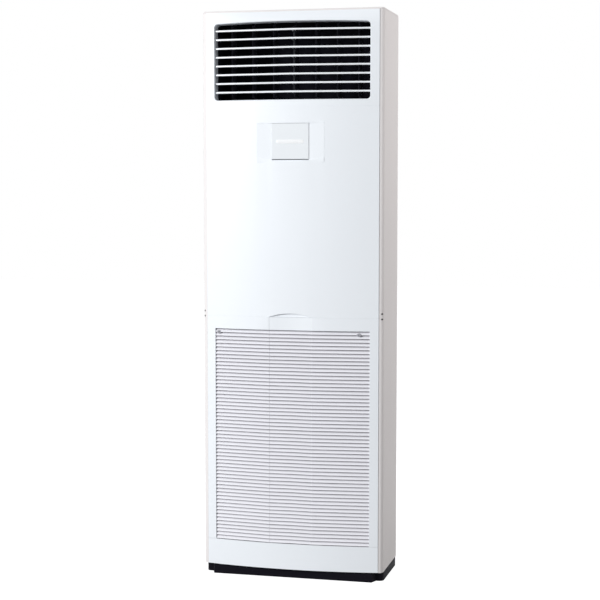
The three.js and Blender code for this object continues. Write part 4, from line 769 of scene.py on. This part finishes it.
@dataclass(frozen=True)
class Softener:
    """Rounds a solid's hard edges and shades its curved faces smoothly."""

    width: float
    angle: float = 33.0
    segments: int = 2

    def dress(self, solid: bpy.types.Object) -> None:
        """Adds the modifiers that weld, smooth and round a solid; its mesh is untouched.

        Args:
            solid: the solid.
        """
        weld = solid.modifiers.new("weld", "NODES")
        weld.node_group = self._weld_group()
        edges = solid.modifiers.new("edges", "BEVEL")
        edges.width = self.width
        edges.segments = self.segments
        edges.limit_method = "ANGLE"
        edges.angle_limit = math.radians(self.angle)
        edges.harden_normals = True

    def _weld_group(self) -> bpy.types.NodeTree:
        """The node group that joins loose triangles and marks edges over the angle as sharp.

        Returns:
            The group, made once for each angle.
        """
        name = f"weld_{self.angle:.0f}"
        made = bpy.data.node_groups.get(name)
        if made is not None:
            return made
        group = bpy.data.node_groups.new(name, "GeometryNodeTree")
        group.is_modifier = True
        for way in ("INPUT", "OUTPUT"):
            group.interface.new_socket("Geometry", in_out=way, socket_type="NodeSocketGeometry")
        add, link = group.nodes.new, group.links.new
        start, end = add("NodeGroupInput"), add("NodeGroupOutput")
        bare = add("GeometryNodeRemoveAttribute")
        bare.inputs["Name"].default_value = "custom_normal"
        merge = add("GeometryNodeMergeByDistance")
        merge.inputs["Distance"].default_value = WELD_REACH
        faces = add("GeometryNodeSetShadeSmooth")
        edges = add("GeometryNodeSetShadeSmooth")
        edges.domain = "EDGE"
        edges.inputs["Shade Smooth"].default_value = False
        turn = add("GeometryNodeInputMeshEdgeAngle")
        over = add("FunctionNodeCompare")
        over.operation = "GREATER_THAN"
        over.inputs[1].default_value = math.radians(self.angle)
        link(start.outputs[0], bare.inputs[0])
        link(bare.outputs[0], merge.inputs[0])
        link(merge.outputs[0], faces.inputs[0])
        link(faces.outputs[0], edges.inputs[0])
        link(turn.outputs["Unsigned Angle"], over.inputs[0])
        link(over.outputs[0], edges.inputs["Selection"])
        link(edges.outputs[0], end.inputs[0])
        return group


MOULDED = Softener(0.5 * MM)
FOLDED = Softener(0.4 * MM)
FINE = Softener(0.25 * MM, segments=1)


# ---------------------------------------------------------------- surfaces


def surface(name: str, points: np.ndarray, finish: Finish, body: Body, slot: Slot) -> None:
    """A closed surface from a grid of points.

    The grid's rows run from one end of the shape to the other, and its columns
    go round it. The first and the last row are each closed by a face of their
    own, or are already a single point.

    Args:
        name: the piece's name.
        points: an array of rows, columns and 3 numbers, in metres.
        finish: what it wears.
        body: the body that it rides on.
        slot: the record's material slot; not used.
    """
    rows, columns = points.shape[:2]
    grid = np.arange(rows * columns).reshape(rows, columns)
    after = np.roll(grid, -1, axis=1)
    quads = np.stack([grid[:-1], after[:-1], after[1:], grid[1:]], axis=-1)
    faces = quads.reshape(-1, 4).tolist() + [grid[0, ::-1].tolist(), grid[-1].tolist()]
    mesh = bpy.data.meshes.new(name)
    mesh.from_pydata(points.reshape(-1, 3).tolist(), [], faces)
    mesh.materials.append(finish.material())
    made = bpy.data.objects.new(name, mesh)
    bpy.context.scene.collection.objects.link(made)
    bpy.ops.object.select_all(action="DESELECT")
    bpy.context.view_layer.objects.active = made
    made.select_set(True)
    bpy.ops.object.mode_set(mode="EDIT")
    bpy.ops.mesh.select_all(action="SELECT")
    bpy.ops.mesh.remove_doubles(threshold=1e-6)
    bpy.ops.mesh.dissolve_degenerate(threshold=1e-7)
    bpy.ops.mesh.normals_make_consistent(inside=False)
    bpy.ops.object.mode_set(mode="OBJECT")
    mesh.shade_smooth()
    mesh.set_sharp_from_angle(angle=math.radians(40))
    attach(made, body.value)
    LOG.info("made %s with %d faces", name, len(mesh.polygons))


@dataclass(frozen=True)
class Screw:
    """A pan head screw with a cross recess, which faces the front."""

    radius: float = 3.3 * MM
    height: float = 1.0 * MM
    cross_arm: float = 2.1 * MM
    cross_width: float = 0.62 * MM
    cross_depth: float = 0.9 * MM
    rings: int = 14
    around: int = 40

    def points(self, at: Point) -> np.ndarray:
        """The head's surface.

        The height over the seat is a flattened dome, h * (1 - (r/R)^4) ^ 0.5,
        and the cross sinks it where a point lies within half a cross width of
        either arm and no further out than the arm is long.

        Args:
            at: the middle of the seat.

        Returns:
            Rows from the rim to the middle, columns round the axis.
        """
        share = np.linspace(1.0, 0.0, self.rings)[:, None] ** 0.8
        turn = np.linspace(0, 2 * math.pi, self.around, endpoint=False)[None, :]
        radius = share * self.radius
        across, up = radius * np.cos(turn), radius * np.sin(turn)
        dome = self.height * np.sqrt(np.clip(1 - share**4, 0, None)) * np.ones_like(turn)
        near = np.minimum(np.abs(across), np.abs(up))
        sunk = (near < self.cross_width) & (np.hypot(across, up) < self.cross_arm)
        out = dome - np.where(sunk, self.cross_depth, 0.0)
        return np.asarray(at) + np.stack([across, -out, up], axis=-1)


# ---------------------------------------------------------------- sub-assemblies


@dataclass
class Assembly:
    """A group of the frame's solids that are dressed together."""

    solids: Mapping[str, bpy.types.Object]

    def dress(self, names: Iterable[str], finish: Finish, softener: Softener | None) -> None:
        """Gives solids a finish and softened edges.

        Args:
            names: the solids' names.
            finish: what they wear.
            softener: how their edges are rounded, or None.
        """
        for name in names:
            solid = self.solids[name]
            for place in solid.material_slots:
                place.material = finish.material()
            if softener is not None:
                softener.dress(solid)
            LOG.info("dressed %s in %s", name, finish.name)


@dataclass(frozen=True)
class BowedFace:
    """The plan curve that every front panel follows, drawn straight between its stations."""

    half: float = 285.2 * MM
    edge_y: float = -109 * MM
    bow: float = 26 * MM
    steps: int = 10

    def at(self, x: np.ndarray) -> np.ndarray:
        """Where the face lies: edge - bow * (1 - (x / half)^2) at each station, straight between.

        Args:
            x: the places across the front.

        Returns:
            The face's y at each place.
        """
        stations = np.linspace(-self.half, self.half, self.steps + 1)
        curve = self.edge_y - self.bow * (1 - (stations / self.half) ** 2)
        return np.interp(x, stations, curve)


FACE = BowedFace()
STATIONS = 24


def along_face(section: Sequence[tuple[float, float]], start: float, stop: float) -> np.ndarray:
    """A flat section carried along the bowed face.

    A point of the section at depth d and height z becomes (x, face(x) + d, z)
    at each station x.

    Args:
        section: (depth behind the face, height) pairs round the section.
        start: the first station.
        stop: the last station.

    Returns:
        Rows along the path, columns round the section.
    """
    x = np.linspace(start, stop, STATIONS)[:, None]
    depth, height = np.array(section, float).T
    y = FACE.at(x) + depth[None, :]
    return np.stack([x + 0 * y, y, height[None, :] + 0 * y], axis=-1)


@dataclass
class Casing(Assembly):
    """Base frame, kick strip and the sheet panels."""

    plug_heights: tuple[float, ...] = (854 * MM, 871 * MM)
    plug_radius: float = 2.7 * MM
    plug_x: float = 295.33 * MM
    corner_radius: float = 14 * MM
    corner_y: float = -107 * MM
    bend_x: float = 286 * MM
    plug_share: tuple[float, ...] = (0.62, 0.62, 1.0, 0.94, 0.8, 0.5, 0.0)
    plug_depth_mm: tuple[float, ...] = (3.2, 0.5, 0.1, -0.35, -0.3, 0.3, 0.4)

    def build(self) -> None:
        """Dresses the casing."""
        self.dress(["side_panel_left", "side_panel_right", "top_panel"], PANEL_COAT, FOLDED)
        self.dress(["back_panel"], BACK_COAT, FOLDED)
        self.dress(["pipe_plate"], GALVANISED, None)
        self.dress(["base_frame"], BASE_COAT, FOLDED)
        self.dress(["kick_strip"], KICK_BLACK, MOULDED)
        for side, name in ((-1, "left"), (1, "right")):
            for index, height in enumerate(self.plug_heights, 1):
                self.plug(f"corner_plug_{name}_{index}", side, height)

    def plug(self, name: str, side: int, height: float) -> None:
        """A dark plug in one of the front corners' holes.

        Its rows run from its shank's back to the middle of its face. A row has a
        share of the plug's radius and a depth behind the rounded corner, which
        lies r - (r^2 - d^2) ^ 0.5 behind the front at d past the bend's centre.

        Args:
            name: the piece's name.
            side: -1 for the left corner, 1 for the right.
            height: the hole's height.
        """
        turn = np.linspace(0, 2 * math.pi, 28, endpoint=False)[None, :]
        radius = self.plug_radius * np.array(self.plug_share)[:, None]
        across = radius * np.cos(turn)
        past = self.plug_x + side * across - self.bend_x
        bend = self.corner_radius - np.sqrt(self.corner_radius**2 - past**2)
        y = self.corner_y + bend + np.array(self.plug_depth_mm)[:, None] * MM
        points = np.stack([side * self.plug_x + across, y, height + radius * np.sin(turn)], axis=-1)
        surface(name, points, HOLE_BLACK, Body.CABINET, Slot.BLACK_PLASTIC)


@dataclass
class Front(Assembly):
    """The upper front panel and the hinged intake grille with its fasteners."""

    fasteners: tuple[tuple[float, float], ...] = ((-0.245, 0.8032), (0.222, 0.8032))
    boss_half: tuple[float, float] = (7.5 * MM, 5.2 * MM)
    boss_depth: float = 7 * MM
    boss_dome: float = 0.9 * MM
    boss_dish: float = 0.25 * MM
    boss_sink: float = 0.1 * MM
    screw_sink: float = 0.45 * MM
    upper_seam: float = 1531.5 * MM
    lower_seam: float = 857 * MM
    seam_half: float = 0.35 * MM
    seam_depth: tuple[float, float] = (0.8 * MM, 8 * MM)
    channel_half: float = 70.6 * MM
    panel_half: float = 283 * MM
    channel_scoop: float = 4.5 * MM
    grip_heights: tuple[float, float] = (857.05 * MM, 870.4 * MM)
    grip_depth: tuple[float, float] = (2.6 * MM, 3.4 * MM)
    grip_wall: float = 1.6 * MM
    grip_lap: float = 2 * MM

    def build(self) -> None:
        """Dresses both panels, closes the seams from behind and sets the two fasteners."""
        self.dress(["upper_front_panel"], FRONT_WHITE, MOULDED)
        self.dress(["intake_grille"], GRILLE_WHITE, MOULDED)
        self.dress(["hinge_bracket_left", "hinge_bracket_right"], GALVANISED, FINE)
        self.dress(["air_filter"], FILTER_NET, FINE)
        self.dress(["filter_rail_left", "filter_rail_right"], RAIL_GREY, FINE)
        spans = {
            "seam_tongue_upper": (self.upper_seam, -self.panel_half, self.panel_half),
            "seam_tongue_left": (self.lower_seam, -self.panel_half, -self.channel_half),
            "seam_tongue_right": (self.lower_seam, self.channel_half, self.panel_half),
        }
        for name, (height, start, stop) in spans.items():
            self.tongue(name, height, start, stop)
        self.grip_pocket()
        for index, (x, z) in enumerate(self.fasteners, 1):
            self.fastener(index, x, z)

    def tongue(self, name: str, height: float, start: float, stop: float) -> None:
        """The lip that closes a seam from behind: a thin rectangle carried along the face.

        Args:
            name: the piece's name.
            height: the seam's middle.
            start: where it begins across the front.
            stop: where it ends.
        """
        near, far = self.seam_depth
        low, high = height - self.seam_half, height + self.seam_half
        section = [(near, low), (near, high), (far, high), (far, low)]
        points = along_face(section, start, stop)
        surface(name, points, FRONT_WHITE, Body.CABINET, Slot.WHITE_PLASTIC)

    def grip_pocket(self) -> None:
        """The pocket behind the finger notch: an upside-down L carried along the face.

        Its wall follows the grille's channel, so at x it lies deeper than at the
        ends by scoop * (1 - (x / half) squared).
        """
        near, far, wall = self.grip_depth[0], self.grip_depth[1], self.grip_wall
        low, high = self.grip_heights[0], self.grip_heights[1] + wall
        section = [
            (near, high - wall), (near, high), (far + wall, high), (far + wall, low),
            (far, low), (far, high - wall),
        ]
        reach = self.channel_half + self.grip_lap
        points = along_face(section, -reach, reach)
        behind = points[:, 2:]
        scoop = self.channel_scoop * (1 - (behind[..., 0] / self.channel_half) ** 2)
        behind[..., 1] += np.clip(scoop, 0, None)
        surface("grip_pocket", points, FRONT_WHITE, Body.CABINET, Slot.WHITE_PLASTIC)

    def fastener(self, index: int, x: float, z: float) -> None:
        """An oval boss with a domed edge, and a screw in it.

        The boss's rows run from its back to the middle of its face. Its outline
        is an ellipse, drawn in by the cosine of most of a quarter turn while its
        depth falls by one less the sine.

        Args:
            index: the fastener's number.
            x: its place across the front.
            z: its height.
        """
        turn = np.linspace(0, 2 * math.pi, 36, endpoint=False)[None, :]
        edge = np.linspace(0, math.pi / 2, 6) * 0.8
        share = np.concatenate([[1.0], np.cos(edge), [0.0]])[:, None]
        dome = self.boss_dome * (1 - np.sin(edge))
        depth = np.concatenate([[self.boss_depth], dome, [self.boss_dish]])[:, None]
        wide, tall = self.boss_half
        here = float(FACE.at(np.array([x]))[0])
        across = x + share * wide * np.cos(turn)
        up = z + share * tall * np.sin(turn)
        y = here + self.boss_sink + depth + 0 * across
        points = np.stack([across, y, up], axis=-1)
        surface(f"fastener_boss_{index}", points, BOSS_GREY, Body.GRILLE, Slot.WHITE_PLASTIC)
        head = Screw().points((x, here + self.screw_sink, z))
        surface(f"fastener_screw_{index}", head, SCREW_ZINC, Body.GRILLE, Slot.ZINC_STEEL)


@dataclass
class Outlet(Assembly):
    """The bladed outlet: frame, blades, vanes, links, duct and motor."""

    blades: int = 8
    vanes: int = 7

    def build(self) -> None:
        """Dresses the outlet's solids."""
        self.dress(["outlet_frame"], FRONT_WHITE, MOULDED)
        self.dress([f"louvre_blade_{i + 1}" for i in range(self.blades)], BLADE_WHITE, FINE)
        self.dress(["louvre_link", "vane_link"], LINK_GREY, FINE)
        self.dress([f"air_vane_{i + 1}" for i in range(self.vanes)], VANE_BLACK, FINE)
        self.dress(["outlet_duct"], DUCT_FOAM, None)
        self.dress(["swing_motor"], MOTOR_ZINC, FINE)


@dataclass
class Controls(Assembly):
    """The controller behind its hinged cover, with the plain strip and the lip beside it."""

    keys: tuple[str, ...] = ("power", "mode", "fan", "down", "up")
    strip_size: tuple[float, float] = (91 * MM, 12.5 * MM)
    strip_rise: float = 0.49
    strip_inset: tuple[float, ...] = (0.0, 0.0, 0.12 * MM, 0.3 * MM)
    strip_depth: tuple[float, ...] = (0.8 * MM, 0.0, -0.22 * MM, -0.3 * MM, -0.3 * MM)
    lip_gap: tuple[float, float] = (0.15 * MM, 4.2 * MM)
    lip_depth: tuple[float, float] = (0.25 * MM, 2.6 * MM)
    lip_rows: int = 6

    def build(self) -> None:
        """Dresses the controller and its cover, and adds the cover's strip and lip."""
        self.dress(["controller_body"], BODY_GREY, FINE)
        self.dress(["control_cover"], PLATE_WHITE, FINE)
        self.dress(["display_window"], DISPLAY, FINE)
        self.dress([f"button_{key}" for key in self.keys], KEY_GREY, FINE)
        self.strip()
        self.lip()

    def lip(self) -> None:
        """The panel's raised lip right of the cover: a low triangle in plan, carried upwards.

        It falls from just beside the cover's face to the panel's recess.
        """
        low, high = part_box("control_cover")
        inner, outer = (high[0] + gap for gap in self.lip_gap)
        near, far = (low[1] + depth for depth in self.lip_depth)
        corners = np.array([(inner, near), (outer, far), (outer, far + MM), (inner, far + MM)])
        heights = np.linspace(low[2], high[2], self.lip_rows)[:, None, None]
        shape = (self.lip_rows, len(corners))
        rows = np.broadcast_to(corners, (*shape, 2)), np.broadcast_to(heights, (*shape, 1))
        points = np.concatenate(rows, axis=-1)
        surface("cover_lip", points, FRONT_WHITE, Body.CABINET, Slot.WHITE_PLASTIC)

    def strip(self) -> None:
        """The plain strip across the cover: a flat pill whose face is rounded at its rim.

        Round it, a point at angle t lies at (sign(cos t) (w/2 - r) + r cos t,
        r sin t) for a height of 2 r. The rows draw in from the cover's face to
        the strip's own over a third of its thickness.
        """
        low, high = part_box("control_cover")
        wide, tall = self.strip_size
        radius = tall / 2
        turn = (np.arange(48) + 0.5) * (2 * math.pi / 48)
        flat = np.sign(np.cos(turn)) * (wide / 2 - radius)
        reach = radius - np.array([*self.strip_inset, radius])[:, None]
        x = (low[0] + high[0]) / 2 + flat + reach * np.cos(turn)
        z = low[2] + (high[2] - low[2]) * self.strip_rise + reach * np.sin(turn)
        y = low[1] + np.array(self.strip_depth)[:, None] + 0 * x
        points = np.stack([x, y, z], axis=-1)
        surface("cover_strip", points, STRIP_WHITE, Body.COVER, Slot.WHITE_PLASTIC)


@dataclass
class Blower(Assembly):
    """The fan wheel, its motor, housing and deck."""

    def build(self) -> None:
        """Dresses the blower."""
        self.dress(["deck", "fan_scroll", "motor_bracket"], GALVANISED, None)
        self.dress(["fan_motor", "motor_shaft"], MOTOR_ZINC, FINE)
        self.dress(["fan_wheel", "inlet_ring"], WHEEL_BLACK, None)


@dataclass
class Cooling(Assembly):
    """The coil with its brackets, drain and pipes."""

    def build(self) -> None:
        """Dresses the cooling side."""
        self.dress(["evaporator_coil"], FINS, None)
        self.dress(["coil_bracket_left", "coil_bracket_right"], GALVANISED, None)
        self.dress(["drain_pan", "drain_socket"], TRAY_BLACK, FINE)
        self.dress(["gas_pipe", "liquid_pipe"], COPPER, None)


@dataclass
class Electrics(Assembly):
    """The electrical box and what it holds."""

    def build(self) -> None:
        """Dresses the electrical box."""
        self.dress(["electrical_box", "electrical_cover"], GALVANISED, FINE)
        self.dress(["terminal_block"], BLOCK_CREAM, FINE)
        self.dress(["control_board"], BOARD_GREEN, FINE)


# ---------------------------------------------------------------- studio


@dataclass(frozen=True)
class Lamp:
    """A soft rectangular lamp that looks at a point."""

    name: str
    place: Point
    target: Point
    size: tuple[float, float]
    power: float
    colour: Colour = (1.0, 1.0, 1.0)

    def light(self) -> None:
        """Hangs the lamp and turns it to its target."""
        data = bpy.data.lights.new(self.name, "AREA")
        data.shape = "RECTANGLE"
        data.size, data.size_y = self.size
        data.energy = self.power
        data.color = self.colour
        lamp = bpy.data.objects.new(self.name, data)
        lamp.location = self.place
        way = np.array(self.target) - np.array(self.place)
        lamp.rotation_euler = (
            math.acos(-way[2] / np.linalg.norm(way)), 0.0, math.atan2(way[1], way[0]) - math.pi / 2)
        bpy.context.scene.collection.objects.link(lamp)


@dataclass
class Studio:
    """The camera, the pale floor, the world and the lamps."""

    camera_place: Point = (1.21653, -4.90191, 1.28756)
    camera_yaw: float = 0.24331
    camera_pitch: float = 0.07596
    lens: float = 92.14
    floor_reach: float = 14.0
    floor_greys: tuple[float, float, float] = (0.26, 0.30, 0.62)
    floor_glow: float = 0.80
    ambient: float = 0.38
    ambient_colour: Colour = (0.97, 0.985, 1.0)
    lamps: tuple[Lamp, ...] = field(default_factory=lambda: (
        Lamp("key", (-4.9, -6.3, 3.15), (0, 0, 0.7), (2.9, 2.9), 560.0, (0.965, 0.985, 1.0)),
        Lamp("side", (2.4, 0.2, 2.2), (0.3, 0, 1.4), (1.2, 1.2), 22.5, (1.0, 0.97, 0.96)),
    ))

    def build(self) -> None:
        """Sets up the camera, the floor, the world and the lamps."""
        bpy.context.scene.view_settings.view_transform = "Standard"
        self._camera()
        self._floor()
        self._world()
        for lamp in self.lamps:
            lamp.light()
        LOG.info("studio ready")

    def _camera(self) -> None:
        """The camera at the photograph's angle."""
        data = bpy.data.cameras.new("camera")
        data.sensor_fit = "HORIZONTAL"
        data.sensor_width = 36.0
        data.lens = self.lens
        camera = bpy.data.objects.new("camera", data)
        camera.location = self.camera_place
        camera.rotation_euler = (math.pi / 2 - self.camera_pitch, 0.0, self.camera_yaw)
        bpy.context.scene.collection.objects.link(camera)
        bpy.context.scene.camera = camera

    @staticmethod
    def _seen(net: Net) -> Term:
        """1 for rays from the camera and for those that gloss or glass sends on.

        Args:
            net: the net that asks.

        Returns:
            The share.
        """
        paths = net.add("ShaderNodeLightPath").socket.node.outputs
        kinds = ("Is Camera Ray", "Is Glossy Ray", "Is Transmission Ray")
        camera, glossy, through = (Term(net, paths[kind]) for kind in kinds)
        return camera + glossy + through

    def _floor(self) -> None:
        """A wide floor that looks near white and keeps the object's shadow."""
        reach = self.floor_reach
        corners = [(-reach, -reach, 0), (reach, -reach, 0), (reach, reach, 0), (-reach, reach, 0)]
        mesh = bpy.data.meshes.new("floor")
        mesh.from_pydata(corners, [], [(0, 1, 2, 3)])
        material = bpy.data.materials.new("floor_paper")
        net = Net(material)
        clouds = net.noise(net.place(), 0.8, 2.0)
        dark, pale, shown = ((grey, grey, grey) for grey in self.floor_greys)
        plain = net.add("ShaderNodeBsdfDiffuse", {}, {"Color": net.blend(clouds, dark, pale)})
        shade = net.add("ShaderNodeBsdfDiffuse", {}, {"Color": shown})
        glow = net.add("ShaderNodeEmission", {}, {"Color": (1, 1, 1), "Strength": self.floor_glow})
        paper = net.add("ShaderNodeAddShader", {}, {0: shade, 1: glow})
        mix = net.add("ShaderNodeMixShader", {}, {0: self._seen(net), 1: plain, 2: paper})
        net.add("ShaderNodeOutputMaterial", {}, {"Surface": mix})
        mesh.materials.append(material)
        floor = bpy.data.objects.new("floor", mesh)
        bpy.context.scene.collection.objects.link(floor)
        floor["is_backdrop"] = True

    def _world(self) -> None:
        """An even soft world that the camera sees as white."""
        world = bpy.data.worlds.new("studio_world")
        bpy.context.scene.world = world
        net = Net(world)
        even = {"Color": self.ambient_colour, "Strength": self.ambient}
        soft = net.add("ShaderNodeBackground", {}, even)
        white = net.add("ShaderNodeBackground", {}, {"Color": (1, 1, 1), "Strength": 1.0})
        mix = net.add("ShaderNodeMixShader", {}, {0: self._seen(net), 1: soft, 2: white})
        net.add("ShaderNodeOutputWorld", {}, {"Surface": mix})


def main() -> None:
    """Loads the frame, dresses each sub-assembly in order and sets the studio."""
    logging.basicConfig(level=logging.INFO, format="%(name)s: %(message)s")
    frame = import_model()
    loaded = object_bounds()
    solids = frame["nodes"]
    Studio().build()
    for assembly in (Casing, Front, Outlet, Controls, Blower, Cooling, Electrics):
        assembly(solids).build()
        LOG.info("%s done", assembly.__name__)
    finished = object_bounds()
    sizes = {"loaded": loaded, "finished": finished}
    json.dumps(sizes, default=lambda v: [float(x) for x in v])


if __name__ == "__main__":
    main()
